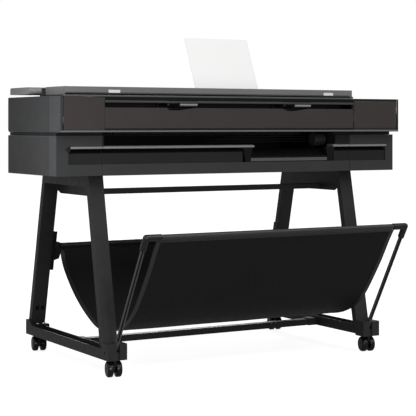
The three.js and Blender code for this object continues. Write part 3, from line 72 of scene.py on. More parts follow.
# ---- Materials ---------------------------------------------------------------------
class Nodes:
    """A small helper that builds one material's node tree."""

    def __init__(self, name):
        self.material = bpy.data.materials.new(name)
        self.material.use_nodes = True
        self.tree = self.material.node_tree
        self.shader = self.tree.nodes["Principled BSDF"]
        coordinates = self.tree.nodes.new("ShaderNodeTexCoord")
        self.place = coordinates.outputs["Object"]

    def add(self, kind, **values):
        node = self.tree.nodes.new(kind)
        for key, value in values.items():
            if hasattr(node, key):
                setattr(node, key, value)
            else:
                node.inputs[key.replace("_", " ")].default_value = value
        return node

    def link(self, output, socket):
        self.tree.links.new(output, socket)

    def scaled(self, scale):
        node = self.add("ShaderNodeMapping")
        node.inputs["Scale"].default_value = scale
        self.link(self.place, node.inputs["Vector"])
        return node.outputs["Vector"]

    def noise(self, scale, detail=3.0, stretch=None):
        node = self.add("ShaderNodeTexNoise", Scale=scale, Detail=detail, Roughness=0.55)
        self.link(self.scaled(stretch) if stretch else self.place, node.inputs["Vector"])
        return node.outputs["Fac"]

    def voronoi(self, scale, feature="F1"):
        node = self.add("ShaderNodeTexVoronoi", feature=feature, Scale=scale)
        self.link(self.place, node.inputs["Vector"])
        return node.outputs["Distance"]

    def wave(self, scale, direction, distortion=0.0, stretch=None):
        node = self.add("ShaderNodeTexWave", bands_direction=direction, Scale=scale,
                        Distortion=distortion, Detail=1.0)
        self.link(self.scaled(stretch) if stretch else self.place, node.inputs["Vector"])
        return node.outputs["Fac"]

    def math(self, operation, a, b):
        node = self.add("ShaderNodeMath", operation=operation)
        for value, socket in ((a, node.inputs[0]), (b, node.inputs[1])):
            if isinstance(value, (int, float)):
                socket.default_value = value
            else:
                self.link(value, socket)
        return node.outputs[0]

    def ramp(self, factor, low, high, start=0.3, end=0.7):
        node = self.add("ShaderNodeValToRGB")
        stops = node.color_ramp.elements
        stops[0].position, stops[1].position = start, end
        stops[0].color = (*low, 1) if hasattr(low, "__len__") else (low, low, low, 1)
        stops[1].color = (*high, 1) if hasattr(high, "__len__") else (high, high, high, 1)
        self.link(factor, node.inputs["Fac"])
        return node.outputs["Color"]

    def blend(self, factor, a, b):
        node = self.add("ShaderNodeMix", data_type="RGBA")
        self.link(factor, node.inputs[0])
        for value, socket in ((a, node.inputs[6]), (b, node.inputs[7])):
            if isinstance(value, bpy.types.NodeSocket):
                self.link(value, socket)
            else:
                socket.default_value = (*value, 1)
        return node.outputs[2]

    def edges(self, radius, low=0.02, high=0.25):
        """1 on rounded edges, 0 on flats: the mask for painted highlights along edges."""
        bevel = self.add("ShaderNodeBevel", samples=4, Radius=radius)
        flat = self.add("ShaderNodeNewGeometry")
        dot = self.add("ShaderNodeVectorMath", operation="DOT_PRODUCT")
        self.link(bevel.outputs["Normal"], dot.inputs[0])
        self.link(flat.outputs["Normal"], dot.inputs[1])
        return self.ramp(self.math("SUBTRACT", 1.0, dot.outputs["Value"]), 0.0, 1.0, low, high)

    def bump(self, height, strength, distance):
        node = self.add("ShaderNodeBump", Strength=strength, Distance=distance)
        self.link(height, node.inputs["Height"])
        if self.shader.inputs["Normal"].is_linked:
            before = self.shader.inputs["Normal"].links[0].from_socket
            self.link(before, node.inputs["Normal"])
        self.link(node.outputs["Normal"], self.shader.inputs["Normal"])

    def colour(self, output):
        self.link(output, self.shader.inputs["Base Color"])

    def roughness(self, output):
        self.link(output, self.shader.inputs["Roughness"])

    def set(self, **values):
        for key, value in values.items():
            self.shader.inputs[key.replace("_", " ")].default_value = value
        return self


def shade(rgb, k):
    return tuple(min(1.0, c * k) for c in rgb)


def moulded(name, rgb, rough=0.45, grain=900.0, grain_depth=0.00006, spread=0.12, edge=1.35,
            edge_radius=0.0012, specular=0.22):
    """Moulded plastic: fine spark-eroded grain, faint cloudiness, and a painted highlight along the edges."""
    n = Nodes(name)
    clouds = n.ramp(n.noise(6.0, 4.0), shade(rgb, 1 - spread), shade(rgb, 1 + spread))
    speck = n.ramp(n.noise(grain * 0.6, 2.0), 0.0, 1.0, 0.35, 0.75)
    tint = n.blend(speck, clouds, shade(rgb, 1.12))
    # painted highlight: the colour is lightened by the factor edge along rounded edges
    n.colour(n.blend(n.edges(edge_radius), tint, shade(rgb, edge)))
    n.roughness(n.ramp(n.noise(14.0, 5.0), rough - 0.05, rough + 0.07))
    n.bump(n.noise(grain, 2.0), 0.35, grain_depth)
    n.set(Specular_IOR_Level=specular)
    return n.material


def painted(name, rgb, rough=0.42, metal=0.0):
    """Powder-coated steel: orange peel, fine sparkle and a painted highlight on the edges."""
    n = Nodes(name)
    clouds = n.ramp(n.noise(5.0, 3.0), shade(rgb, 0.9), shade(rgb, 1.12))
    fleck = n.ramp(n.voronoi(1400.0), shade(rgb, 1.9), shade(rgb, 0.95), 0.05, 0.3)
    # painted highlight: lighter colour along rounded edges
    n.colour(n.blend(n.edges(0.0015), n.blend(n.noise(300.0, 1.0), clouds, fleck),
                     shade(rgb, 1.8)))
    n.roughness(n.ramp(n.noise(40.0, 4.0), rough - 0.06, rough + 0.08))
    n.bump(n.noise(650.0, 2.0), 0.4, 0.00012)
    n.bump(n.noise(140.0, 2.0), 0.25, 0.0002)
    n.set(Metallic=metal, Specular_IOR_Level=0.25)
    return n.material


def brushed(name, rgb, direction, rough=0.35, metal=0.9):
    """Brushed metal, with its lines along one axis."""
    n = Nodes(name)
    stretch = tuple(1.0 if axis == direction else 60.0 for axis in "XYZ")
    lines = n.noise(9.0, 6.0, stretch)
    n.colour(n.ramp(lines, shade(rgb, 0.8), shade(rgb, 1.15)))
    n.roughness(n.ramp(lines, rough - 0.06, rough + 0.12))
    n.bump(lines, 0.15, 0.0001)
    n.set(Metallic=metal)
    return n.material


def woven(name, rgb, threads=900.0, sheen=0.02, rough=0.5, gloss=0.14):
    """Tight plain weave: two sets of threads, slight slubs and creases."""
    n = Nodes(name)
    across = n.wave(threads, "X", 0.6)
    along = n.wave(threads * 0.7, "Y", 0.6)
    upright = n.wave(threads * 0.7, "Z", 0.6)
    threads_map = n.math("MAXIMUM", across, n.math("MAXIMUM", along, upright))
    slub = n.noise(420.0, 2.0, (1.0, 0.15, 0.15))
    clouds = n.ramp(n.noise(7.0, 3.0), shade(rgb, 0.8), shade(rgb, 1.3))
    lit = n.blend(n.ramp(threads_map, 0.0, 1.0, 0.4, 1.0), clouds, shade(rgb, 1.9))
    n.colour(n.blend(n.ramp(slub, 0.0, 0.5, 0.55, 0.8), lit, shade(rgb, 1.5)))
    n.roughness(n.ramp(slub, rough, rough + 0.16))
    n.bump(threads_map, 0.5, 0.0002)
    n.bump(n.noise(18.0, 3.0), 0.25, 0.002)
    n.set(Sheen_Weight=sheen, Sheen_Roughness=0.35, Sheen_Tint=(0.8, 0.82, 0.85, 1.0),
          Specular_IOR_Level=gloss)
    return n.material


def rubbery(name, rgb, rough=0.6):
    """Dull rubber or thread: uneven tone and a fine grain."""
    n = Nodes(name)
    n.colour(n.ramp(n.noise(30.0, 4.0), shade(rgb, 0.8), shade(rgb, 1.5)))
    n.roughness(n.ramp(n.noise(60.0, 4.0), rough - 0.1, rough + 0.1))
    n.bump(n.noise(800.0, 2.0), 0.3, 0.0001)
    return n.material


def glassy(name, rgb, rough=0.06):
    """Dark coated glass with faint smears."""
    n = Nodes(name)
    smears = n.noise(9.0, 5.0, (1.0, 3.0, 1.0))
    n.colour(n.ramp(smears, shade(rgb, 0.8), shade(rgb, 1.3)))
    n.roughness(n.ramp(smears, rough, rough + 0.07, 0.45, 0.75))
    n.set(Coat_Weight=0.6, Coat_Roughness=0.04)
    return n.material


def paper_sheet(name, rgb):
    """Matt paper with faint fibres."""
    n = Nodes(name)
    fibres = n.noise(700.0, 3.0, (1.0, 1.0, 0.3))
    n.colour(n.ramp(fibres, shade(rgb, 0.96), rgb))
    n.roughness(n.ramp(fibres, 0.75, 0.9))
    n.bump(fibres, 0.2, 0.00005)
    return n.material


def board(name):
    """A circuit board: lighter tracks between green cells."""
    n = Nodes(name)
    cells = n.voronoi(180.0, "DISTANCE_TO_EDGE")
    n.colour(n.ramp(cells, (0.03, 0.2, 0.07), (0.01, 0.09, 0.03), 0.03, 0.08))
    n.roughness(n.ramp(n.noise(50.0), 0.3, 0.5))
    n.bump(cells, 0.3, 0.0003)
    return n.material


def make_materials():
    return {
        "charcoal_cover": moulded("charcoal_cover", (0.029, 0.0296, 0.0308), 0.46),
        "graphite_chassis": moulded("graphite_chassis", (0.010, 0.0103, 0.011), 0.5, specular=0.15),
        "brown_panel": moulded("brown_panel", (0.0375, 0.0315, 0.0298), 0.4, grain=1400.0,
                               grain_depth=0.00003, spread=0.05, edge=1.25),
        "light_trim": moulded("light_trim", (0.125, 0.125, 0.125), 0.35, grain=1200.0,
                              grain_depth=0.00003, spread=0.06, edge=1.2),
        "lever_grey": moulded("lever_grey", (0.21, 0.21, 0.214), 0.4, spread=0.05, edge=1.1),
        "lid_grey": moulded("lid_grey", (0.165, 0.166, 0.169), 0.42, spread=0.06, edge=1.25),
        "dark_glass": glassy("dark_glass", (0.008, 0.01, 0.012)),
        "black_plastic": moulded("black_plastic", (0.006, 0.006, 0.0064), 0.34, spread=0.2, edge=2.6),
        "roller_rubber": rubbery("roller_rubber", (0.018, 0.018, 0.018)),
        "bright_steel": brushed("bright_steel", (0.55, 0.56, 0.57), "X"),
        "circuit_board": board("circuit_board"),
        "paper": paper_sheet("paper", (0.9, 0.9, 0.895)),
        "stand_paint": painted("stand_paint", (0.0155, 0.0158, 0.0165)),
        "wheel_tread": rubbery("wheel_tread", (0.006, 0.006, 0.0065), 0.3),
        "bin_fabric": woven("bin_fabric", (0.0038, 0.0038, 0.0040)),
        "bin_webbing": woven("bin_webbing", (0.006, 0.006, 0.0063), threads=600.0, rough=0.3,
                             gloss=0.5),
        "thread": rubbery("thread", (0.02, 0.02, 0.02), 0.7),
        # lighter grey for painted highlights on the deck edge and the ink door's edges
        "mid_trim": moulded("mid_trim", (0.075, 0.075, 0.076), 0.36, grain=1200.0,
                            grain_depth=0.00003, spread=0.06, edge=1.2),
        "dark_trim": moulded("dark_trim", (0.042, 0.0425, 0.043), 0.38, spread=0.06, edge=1.3),
        # painted highlight for the chute's front edge
        "chute_trim": moulded("chute_trim", (0.075, 0.075, 0.0765), 0.4, spread=0.1, edge=1.2),
        "black_gloss": moulded("black_gloss", (0.006, 0.006, 0.0065), 0.24, grain=1600.0,
                               grain_depth=0.00002, edge=1.8, specular=0.35),
        # near-black: painted shade in the recess, under the lid, in holes, slots, vents and rod grooves; also the
        # lid's joint line and the socket wells
        "deep_black": moulded("deep_black", (0.002, 0.002, 0.002), 0.8, specular=0.08),
        # darker plates for painted shade in the recess under the ledge
        "inset_dark": moulded("inset_dark", (0.0125, 0.0128, 0.0134), 0.5, specular=0.15),
        # lighter copy of charcoal_cover: painted light on the end faces; also the rear ribs' colour
        "charcoal_light": moulded("charcoal_light", (0.040, 0.041, 0.0425), 0.44),
        "hub_plastic": moulded("hub_plastic", (0.02, 0.02, 0.021), 0.3, edge=1.6),
        "lid_shade": moulded("lid_shade", (0.06, 0.061, 0.063), 0.45),
        "label_white": moulded("label_white", (0.75, 0.75, 0.74), 0.5, spread=0.03, edge=1.0),
        "screen_tile": glassy("screen_tile", (0.05, 0.12, 0.2)),
        "screen_bar": glassy("screen_bar", (0.15, 0.16, 0.17)),
        "wheel_gloss": moulded("wheel_gloss", (0.006, 0.006, 0.0065), 0.2, grain=1500.0,
                               grain_depth=0.00002, edge=1.6),
        "chute_black": moulded("chute_black", (0.005, 0.005, 0.0053), 0.55, specular=0.1),
        # a lighter copy of the stand paint for the rods: painted highlight
        "rod_lit_paint": painted("rod_lit_paint", (0.055, 0.056, 0.058), 0.32),
        "cap_grey": moulded("cap_grey", (0.03, 0.03, 0.031), 0.3, edge=1.5),
    }


MAT = make_materials()
SLOT_OF = {row["node"]: row["material_slot"] for row in frame["record"]["subparts"]}


# ---- Mesh tools --------------------------------------------------------------------
SHARP_ANGLE = math.radians(35)
FLAT_ANGLE = math.radians(0.6)
WELD_GAP = 1e-5


def smooth_tree():
    """Geometry nodes: shade smooth, with edges sharper than SHARP_ANGLE kept sharp."""
    tree = bpy.data.node_groups.new("smooth_by_angle", "GeometryNodeTree")
    tree.interface.new_socket(name="Geometry", in_out="INPUT",
                              socket_type="NodeSocketGeometry")
    tree.interface.new_socket(name="Geometry", in_out="OUTPUT",
                              socket_type="NodeSocketGeometry")
    start = tree.nodes.new("NodeGroupInput")
    end = tree.nodes.new("NodeGroupOutput")
    angle = tree.nodes.new("GeometryNodeInputMeshEdgeAngle")
    test = tree.nodes.new("FunctionNodeCompare")
    test.data_type, test.operation = "FLOAT", "LESS_EQUAL"
    test.inputs[1].default_value = SHARP_ANGLE
    faces = tree.nodes.new("GeometryNodeSetShadeSmooth")
    edges = tree.nodes.new("GeometryNodeSetShadeSmooth")
    edges.domain = "EDGE"
    link = tree.links.new
    link(start.outputs[0], faces.inputs[0])
    link(faces.outputs[0], edges.inputs[0])
    link(angle.outputs[0], test.inputs[0])
    link(test.outputs[0], edges.inputs[2])
    link(edges.outputs[0], end.inputs[0])
    return tree


SMOOTH = smooth_tree()


def soften(obj, width, segments=2, tidy=False, angle=28):
    """Rounded edges and clean shading, as modifiers. tidy first joins a node's flat facets."""
    if tidy:
        weld = obj.modifiers.new("weld", "WELD")
        weld.merge_threshold = WELD_GAP
        flat = obj.modifiers.new("flat", "DECIMATE")
        flat.decimate_type = "DISSOLVE"
        flat.angle_limit = FLAT_ANGLE
    if width:
        bevel = obj.modifiers.new("bevel", "BEVEL")
        bevel.width = width
        bevel.segments = segments
        bevel.limit_method = "ANGLE"
        bevel.angle_limit = math.radians(angle)
        bevel.miter_outer = "MITER_ARC"
    shade_nodes = obj.modifiers.new("smooth", "NODES")
    shade_nodes.node_group = SMOOTH
    weighted = obj.modifiers.new("normals", "WEIGHTED_NORMAL")
    weighted.keep_sharp = True
    return obj


def piece(name, verts, faces, material, body="plotter", slot=None, bevel=0.0, segments=2,
          angle=28):
    """A new mesh that rides on a body."""
    mesh = bpy.data.meshes.new(name)
    mesh.from_pydata([tuple(v) for v in verts], [], faces)
    work = bmesh.new()
    work.from_mesh(mesh)
    bmesh.ops.remove_doubles(work, verts=work.verts, dist=1e-6)
    bmesh.ops.recalc_face_normals(work, faces=work.faces)
    work.to_mesh(mesh)
    work.free()
    mesh.materials.append(MAT[material])
    obj = bpy.data.objects.new(name, mesh)
    bpy.context.scene.collection.objects.link(obj)
    soften(obj, bevel, segments, angle=angle)
    if body:
        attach(obj, body)
    return obj


def prism(outline, axis, a, b):
    """An outline drawn along an axis: (y, z) along X, (x, z) along Y, (x, y) along Z."""
    place = {
        "X": lambda u, v, w: Vector((w, u, v)),
        "Y": lambda u, v, w: Vector((u, w, v)),
        "Z": lambda u, v, w: Vector((u, v, w)),
    }[axis]
    count = len(outline)
    verts = [place(u, v, w) for w in (a, b) for u, v in outline]
    faces = [tuple(range(count)), tuple(range(count, 2 * count))]
    faces += [(i, (i + 1) % count, count + (i + 1) % count, count + i) for i in range(count)]
    return verts, faces


def box_mesh(x0, x1, y0, y1, z0, z1):
    return prism([(y0, z0), (y1, z0), (y1, z1), (y0, z1)], "X", x0, x1)


def several(shapes):
    """Join (verts, faces) shapes into one."""
    verts, faces = [], []
    for v, f in shapes:
        base = len(verts)
        verts += list(v)
        faces += [tuple(i + base for i in face) for face in f]
    return verts, faces


def lathe(profile, axis_start, axis_end, steps=40, close=True):
    """A (radius, distance) profile turned about the line from axis_start to axis_end."""
    start = Vector(axis_start)
    along = (Vector(axis_end) - start).normalized()
    side = along.orthogonal().normalized()
    other = along.cross(side)
    verts, faces = [], []
    for radius, distance in profile:
        for k in range(steps):
            a = 2 * math.pi * k / steps
            verts.append(start + along * distance
                         + (side * math.cos(a) + other * math.sin(a)) * radius)
    rows = len(profile)
    for r in range(rows - 1):
        for k in range(steps):
            n = (k + 1) % steps
            faces.append((r * steps + k, r * steps + n, (r + 1) * steps + n, (r + 1) * steps + k))
    if close:
        faces.append(tuple(range(steps)))
        faces.append(tuple((rows - 1) * steps + k for k in range(steps)))
    return verts, faces


def swept(points, radius, sides=12):
    """A round tube through points, with its ends closed."""
    pts = [Vector(p) for p in points]
    verts, faces = [], []
    normal = (pts[1] - pts[0]).orthogonal().normalized()
    for i, p in enumerate(pts):
        tangent = (pts[min(i + 1, len(pts) - 1)] - pts[max(i - 1, 0)]).normalized()
        normal = (normal - tangent * normal.dot(tangent)).normalized()
        binormal = tangent.cross(normal)
        for k in range(sides):
            a = 2 * math.pi * k / sides
            verts.append(p + (normal * math.cos(a) + binormal * math.sin(a)) * radius)
    for i in range(len(pts) - 1):
        for k in range(sides):
            n = (k + 1) % sides
            faces.append((i * sides + k, i * sides + n, (i + 1) * sides + n, (i + 1) * sides + k))
    faces.append(tuple(range(sides)))
    faces.append(tuple((len(pts) - 1) * sides + k for k in range(sides)))
    return verts, faces


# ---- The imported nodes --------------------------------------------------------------
# Edge rounding in metres.
BEVEL = {"scanner_lid": 0.0045, "control_panel": 0.0015, "paper_sheets": 0.0, "bin_sling": 0.0,
         "left_foot": 0.0016, "right_foot": 0.0016, "left_leg_frame": 0.0018,
         "right_leg_frame": 0.0018, "lower_cross_bar": 0.0014, "upper_cross_bar": 0.0014,
         "centre_front_cover": 0.0008, "ink_door": 0.0008, "left_front_panel": 0.0008,
         "left_upper_cover": 0.0011, "right_upper_cover": 0.0011, "left_lower_cover": 0.0011,
         "right_lower_cover": 0.0011, "feed_roller": 0.0004, "pinch_roller": 0.0004}
BEVEL_REST = 0.0006

# Nodes whose look is not their slot's own.
# the rods take a lighter copy of the stand paint, a painted highlight
LOOK = {"sheet_output_chute": "chute_black", "left_release_lever": "black_plastic",
        "right_release_lever": "black_plastic", "bin_rod_left": "rod_lit_paint",
        "bin_rod_right": "rod_lit_paint", "caster_fork_front_left": "wheel_gloss",
        "caster_fork_front_right": "wheel_gloss", "caster_fork_rear_left": "wheel_gloss",
        "caster_fork_rear_right": "wheel_gloss", "bin_elbow_left": "black_gloss",
        "bin_elbow_right": "black_gloss"}


def dress_nodes():
    for name, obj in frame["nodes"].items():
        material = MAT[LOOK.get(name, SLOT_OF[name])]
        if obj.material_slots:
            for k in range(len(obj.material_slots)):
                obj.material_slots[k].material = material
        else:
            obj.data.materials.append(material)
        soften(obj, BEVEL.get(name, BEVEL_REST), tidy=True)


dress_nodes()


# ---- Camera, light and floor -------------------------------------------------------
CAMERA_PLACE = (-2.4821, -4.2300, 0.8305)
CAMERA_FACING = (0.5009, 0.8655, 0.0)  # level, so that uprights stay upright
CAMERA_LENS = 117.34
CAMERA_SENSOR = 36.0
CAMERA_SHIFT = -0.1995  # the view's centre lies below the camera's height


def make_camera():
    data = bpy.data.cameras.new("camera")
    data.sensor_width = CAMERA_SENSOR
    data.lens = CAMERA_LENS
    data.shift_y = CAMERA_SHIFT
    data.clip_end = 60.0
    camera = bpy.data.objects.new("camera", data)
    bpy.context.scene.collection.objects.link(camera)
    camera.location = CAMERA_PLACE
    camera.rotation_euler = Vector(CAMERA_FACING).to_track_quat("-Z", "Y").to_euler()
    bpy.context.scene.camera = camera


# Area lights: name, place, target, watts, size.
PANELS = (
    ("left_panel", (-1.13, -0.19, 0.84), (-0.69, -0.15, 0.8), 3.4, (0.25, 0.6)),
    ("front_panel", (-0.9, -4.2, 0.9), (0.0, -0.1, 0.6), 49.0, (1.2, 1.2)),
    ("stand_fill", (-1.6, -1.3, 0.3), (-0.5, 0.1, 0.35), 3.5, (0.5, 0.3)),
    ("rear_panel", (2.2, 4.6, 2.4), (0.0, 0.3, 0.7), 60.0, (1.5, 1.5)),
)
SUN_STRENGTH = 1.9
SUN_WIDTH = math.radians(60)  # a very soft sun
WORLD_LIGHT = 0.32
BACKDROP = 1.02
FLOOR_GLOW = 0.89  # keeps the floor pale to the camera
FLOOR_SHEEN = 0.12  # the same glow, as reflections see it
FLOOR_HALF = 14.0


def make_light(kind, name, place, target, energy, size):
    data = bpy.data.lights.new(name, kind)
    data.energy = energy
    if kind == "SUN":
        data.angle = size
    else:
        data.shape = "RECTANGLE"
        data.size, data.size_y = size
    light = bpy.data.objects.new(name, data)
    light.location = place
    light.visible_camera = False
    light.rotation_euler = (Vector(target) - Vector(place)).to_track_quat("-Z", "Y").to_euler()
    bpy.context.scene.collection.objects.link(light)


def make_studio():
    scene = bpy.context.scene
    scene.view_settings.view_transform = "Standard"
    world = bpy.data.worlds.new("studio")
    world.use_nodes = True
    tree = world.node_tree
    soft = tree.nodes["Background"]
    soft.inputs["Color"].default_value = (1.0, 1.0, 1.0, 1.0)
    soft.inputs["Strength"].default_value = WORLD_LIGHT
    backdrop = tree.nodes.new("ShaderNodeBackground")
    backdrop.inputs["Color"].default_value = (1.0, 1.0, 1.0, 1.0)
    backdrop.inputs["Strength"].default_value = BACKDROP
    path = tree.nodes.new("ShaderNodeLightPath")
    mix = tree.nodes.new("ShaderNodeMixShader")
    tree.links.new(path.outputs["Is Camera Ray"], mix.inputs[0])
    tree.links.new(soft.outputs[0], mix.inputs[1])
    tree.links.new(backdrop.outputs[0], mix.inputs[2])
    tree.links.new(mix.outputs[0], tree.nodes["World Output"].inputs["Surface"])
    scene.world = world
    make_light("SUN", "key", (0.9, -3.0, 5.0), (0, 0, 0.6), SUN_STRENGTH, SUN_WIDTH)
    for name, place, target, watts, size in PANELS:
        make_light("AREA", name, place, target, watts, size)


def make_floor():
    mesh = bpy.data.meshes.new("floor")
    corners = [(-1, -1), (1, -1), (1, 1), (-1, 1)]
    mesh.from_pydata([(x * FLOOR_HALF, y * FLOOR_HALF, 0.0) for x, y in corners], [],
                     [(0, 1, 2, 3)])
    floor = bpy.data.objects.new("floor", mesh)
    bpy.context.scene.collection.objects.link(floor)
    n = Nodes("floor_pale")
    n.colour(n.ramp(n.noise(3.0), 0.29, 0.31))
    n.set(Roughness=0.9, Specular_IOR_Level=0.1, Emission_Color=(1.0, 1.0, 1.0, 1.0))
    seen = n.add("ShaderNodeLightPath")
    mirrored = n.math("MULTIPLY", seen.outputs["Is Glossy Ray"], FLOOR_SHEEN)
    n.link(n.math("ADD", n.math("MULTIPLY", seen.outputs["Is Camera Ray"], FLOOR_GLOW), mirrored),
           n.shader.inputs["Emission Strength"])
    mesh.materials.append(n.material)


make_camera()
make_studio()
make_floor()

# ---- Front trims, frames and joint lines -------------------------------------------
SEAM_UP = (-530.0, 481.0)  # joints between the covers, upper and lower body
SEAM_LOW = (-524.0, 489.0)
WIDE = HALF_WIDTH * 1000
LOW = LOWER_Z0 * 1000
UP = UPPER_Z0 * 1000
DECK = DECK_Z * 1000
FACE = (UPPER_Y0 - FRONT_Y) * 1000  # the upper front face
LEVER_X = 235.0
LEVERS = ((-LEVER_X, "left"), (LEVER_X, "right"))
LEVER_HALF = 57
NOTCH = 58.5  # half the room around a lever


def bars(name, rows, material, body="plotter", bevel=0.0004, slot=None):
    """Boxes as one piece: each row is x0, x1, y0, y1, z0, z1 in design millimetres."""
    shapes = []
    for x0, x1, y0, y1, z0, z1 in rows:
        a, b = mm(x0, y0, z0), mm(x1, y1, z1)
        shapes.append(box_mesh(a.x, b.x, a.y, b.y, a.z, b.z))
    return piece(name, *several(shapes), material, body, slot, bevel)


def along_x(name, outline, spans, material, body="plotter", bevel=0.0003, slot=None):
    """One (y, z) outline in design millimetres over one or more X spans."""
    points = [(mm(0, y, z).y, mm(0, y, z).z) for y, z in outline]
    shapes = [prism(points, "X", x0 / 1000, x1 / 1000) for x0, x1 in spans]
    return piece(name, *several(shapes), material, body, slot, bevel)


def front_trims():
    """Thin strips along the upper front: the sill trim, a painted highlight on the deck edge, the levers' slot
    trims and a painted shadow band above the slot.
    """
    along_x("sill_trim", [(FACE - 1.2, UP + 1.4), (FACE - 1.2, UP + 5.0), (FACE - 0.4, UP + 6.0),
                          (FACE + 0.6, UP + 6.0), (FACE + 0.6, UP + 1.0), (FACE - 0.6, UP + 1.0)],
            [(-WIDE + 1, WIDE - 1)], "light_trim")
    # painted highlight: a lighter strip where the deck's top edge catches light
    along_x("deck_edge_highlight", [(FACE - 0.8, DECK - 2.2), (FACE - 0.8, DECK + 1.6), (FACE, DECK + 2.6),
                          (FACE + 8, DECK + 2.8), (FACE + 8, DECK + 0.1), (FACE + 0.1, DECK - 2.2)],
            [(-WIDE + 9, SEAM_UP[1] - 0.5)], "mid_trim", slot="light_trim")
    spans = [(SEAM_UP[0] + 1, -LEVER_X - NOTCH), (-LEVER_X + NOTCH, LEVER_X - NOTCH),
             (LEVER_X + NOTCH, SEAM_UP[1] - 1)]
    low, high = UP + 99.2, UP + 106.4
    along_x("slot_trim", [(FACE - 0.9, low + 1), (FACE - 0.9, high - 2), (FACE + 0.1, high),
                          (FACE + 1, high), (FACE + 1, low), (FACE - 0.2, low)],
            spans, "dark_trim", slot="light_trim")
    along_x("slot_shadow_band", [(FACE - 0.25, high + 0.3), (FACE - 0.25, DECK - 2.6),
                                 (FACE + 0.2, DECK - 2.6), (FACE + 0.2, high + 0.3)],
            [(SEAM_UP[0] + 1, SEAM_UP[1] - 1)], "chute_black", slot="graphite_chassis")
    along_x("slot_trim_bridges", [(FACE - 0.9, low + 1), (FACE - 0.9, high - 2),
                                  (FACE - 0.35, high - 1), (FACE - 0.35, low)],
            [(x - NOTCH - 0.5, x + NOTCH + 0.5) for x, _ in LEVERS], "dark_trim",
            slot="light_trim")


def cover_frames():
    """Glossy frames round the left panel and the ink door, a painted highlight along the ink door's top and right
    edges, and joint lines between covers.
    """
    y0, y1 = FACE - 0.35, FACE + 0.3
    bars("left_panel_frame", [
        (-WIDE + 5.5, -WIDE + 11.6, y0, y1, UP + 6.2, DECK - 2.6),
        (-WIDE + 11.6, SEAM_UP[0] - 2, y0, y1, UP + 116.4, DECK - 2.6),
    ], "black_gloss", slot="graphite_chassis")
    bars("ink_door_frame", [
        (SEAM_UP[1] + 0.6, 486.6, y0, y1, UP + 6.2, DECK - 0.6),
        (486.6, 678.4, y0, y1, UP + 112.5, DECK - 0.6),
        (678.4, WIDE - 0.8, y0, y1, UP + 6.2, DECK - 0.6),
    ], "black_gloss", slot="graphite_chassis")
    # painted highlight along the ink door's top and right edges
    bars("ink_door_edge", [
        (488.0, 677.2, FACE - 0.6, FACE + 0.3, UP + 109.4, UP + 111.4),
        (675.2, 677.2, FACE - 0.6, FACE + 0.3, UP + 24, UP + 109.4),
    ], "mid_trim", "ink_cover", slot="light_trim")
    bars("upper_seams", [
        (SEAM_UP[0] - 2.0, SEAM_UP[0] - 0.4, y0, y1, UP + 6.2, UP + 115.8),
    ], "black_gloss", slot="graphite_chassis")
    rows = []
    for x in (SEAM_LOW[0] - 1.7, SEAM_LOW[1] + 0.4):
        rows += [(x, x + 1.3, -0.3, 0.4, LOW + 0.6, LOW + 37.6),
                 (x, x + 1.3, -0.3, 0.4, LOW + 100, LOW + 133.4)]
    bars("lower_seams", rows, "black_gloss", slot="graphite_chassis")


def ledge_and_recess():
    """The lower body's light ledge, and under it a painted shadow in the recess and inset panels darkened with
    painted shade.
    """
    top = LOW + 99
    nose = [(3, top + 0.25), (-3.3, top - 2.9), (-3.35, top - 7.4), (-1.2, top - 9.2),
            (-0.6, top - 8.6), (-2.7, top - 7.0), (-2.7, top - 3.2), (3, top - 0.3)]
    along_x("ledge_nose", nose, [(-640, -524.9), (-523.2, 71.6), (414.4, 488.2), (489.8, 657.6)],
            "lever_grey", bevel=0.0002, slot="light_trim")
    end = [(-640.4, top + 1.6), (-647, top - 0.5), (-657, top - 9.5), (-652, top - 17),
           (-646.6, top - 20), (-640.4, top - 20)]
    piece("ledge_end_left", *prism([(mm(x, 0, z).x, mm(x, 0, z).z) for x, z in end], "Y",
                                   mm(0, -2.6, 0).y, mm(0, 2, 0).y),
          "black_gloss", "plotter", "graphite_chassis", 0.0008)
    spans = [(-646.6, SEAM_LOW[0] - 0.9), (SEAM_LOW[0] + 0.9, 27.4),
             (421.6, SEAM_LOW[1] - 0.9), (SEAM_LOW[1] + 0.9, 654.6)]
    along_x("recess_shadow", [(4.5, LOW + 75.2), (19.3, LOW + 89.7), (19.9, LOW + 89.7),
                              (5.0, LOW + 74.8)], spans, "deep_black", slot="graphite_chassis")
    # painted shade: darker plates on the inset panels under the ledge
    along_x("inset_panels", [(4.3, LOW + 39), (4.3, LOW + 74.6), (5.2, LOW + 74.9),
                             (5.2, LOW + 38.4)], spans, "inset_dark", slot="charcoal_cover")


def chute_details():
    """A lighter lip along the sheet chute's front edge, a painted highlight, and low ribs across its floor."""
    z = LOW + 38.3
    # painted highlight: a lighter strip where the chute's front edge catches light
    along_x("chute_lip", [(1.5, z + 2.5), (1.5, z + 12.6), (2.0, z + 13.6), (2.6, z + 13.0),
                          (2.2, z + 2.5)],
            [(60.6, 388.6)], "chute_trim", slot="graphite_chassis")
    rib_count, rib_first, rib_step = 9, 84, 35
    ribs = []
    for k in range(rib_count):
        x = rib_first + k * rib_step
        ribs.append(prism([(mm(0, 14, 0).y, (z + 24) / 1000), (mm(0, 56, 0).y, (z + 43.6) / 1000),
                           (mm(0, 56, 0).y, (z + 41.5) / 1000), (mm(0, 14, 0).y, (z + 21) / 1000)],
                          "X", x / 1000, (x + 2.2) / 1000))
    piece("chute_ribs", *several(ribs), "graphite_chassis", "plotter", None, 0.0004)


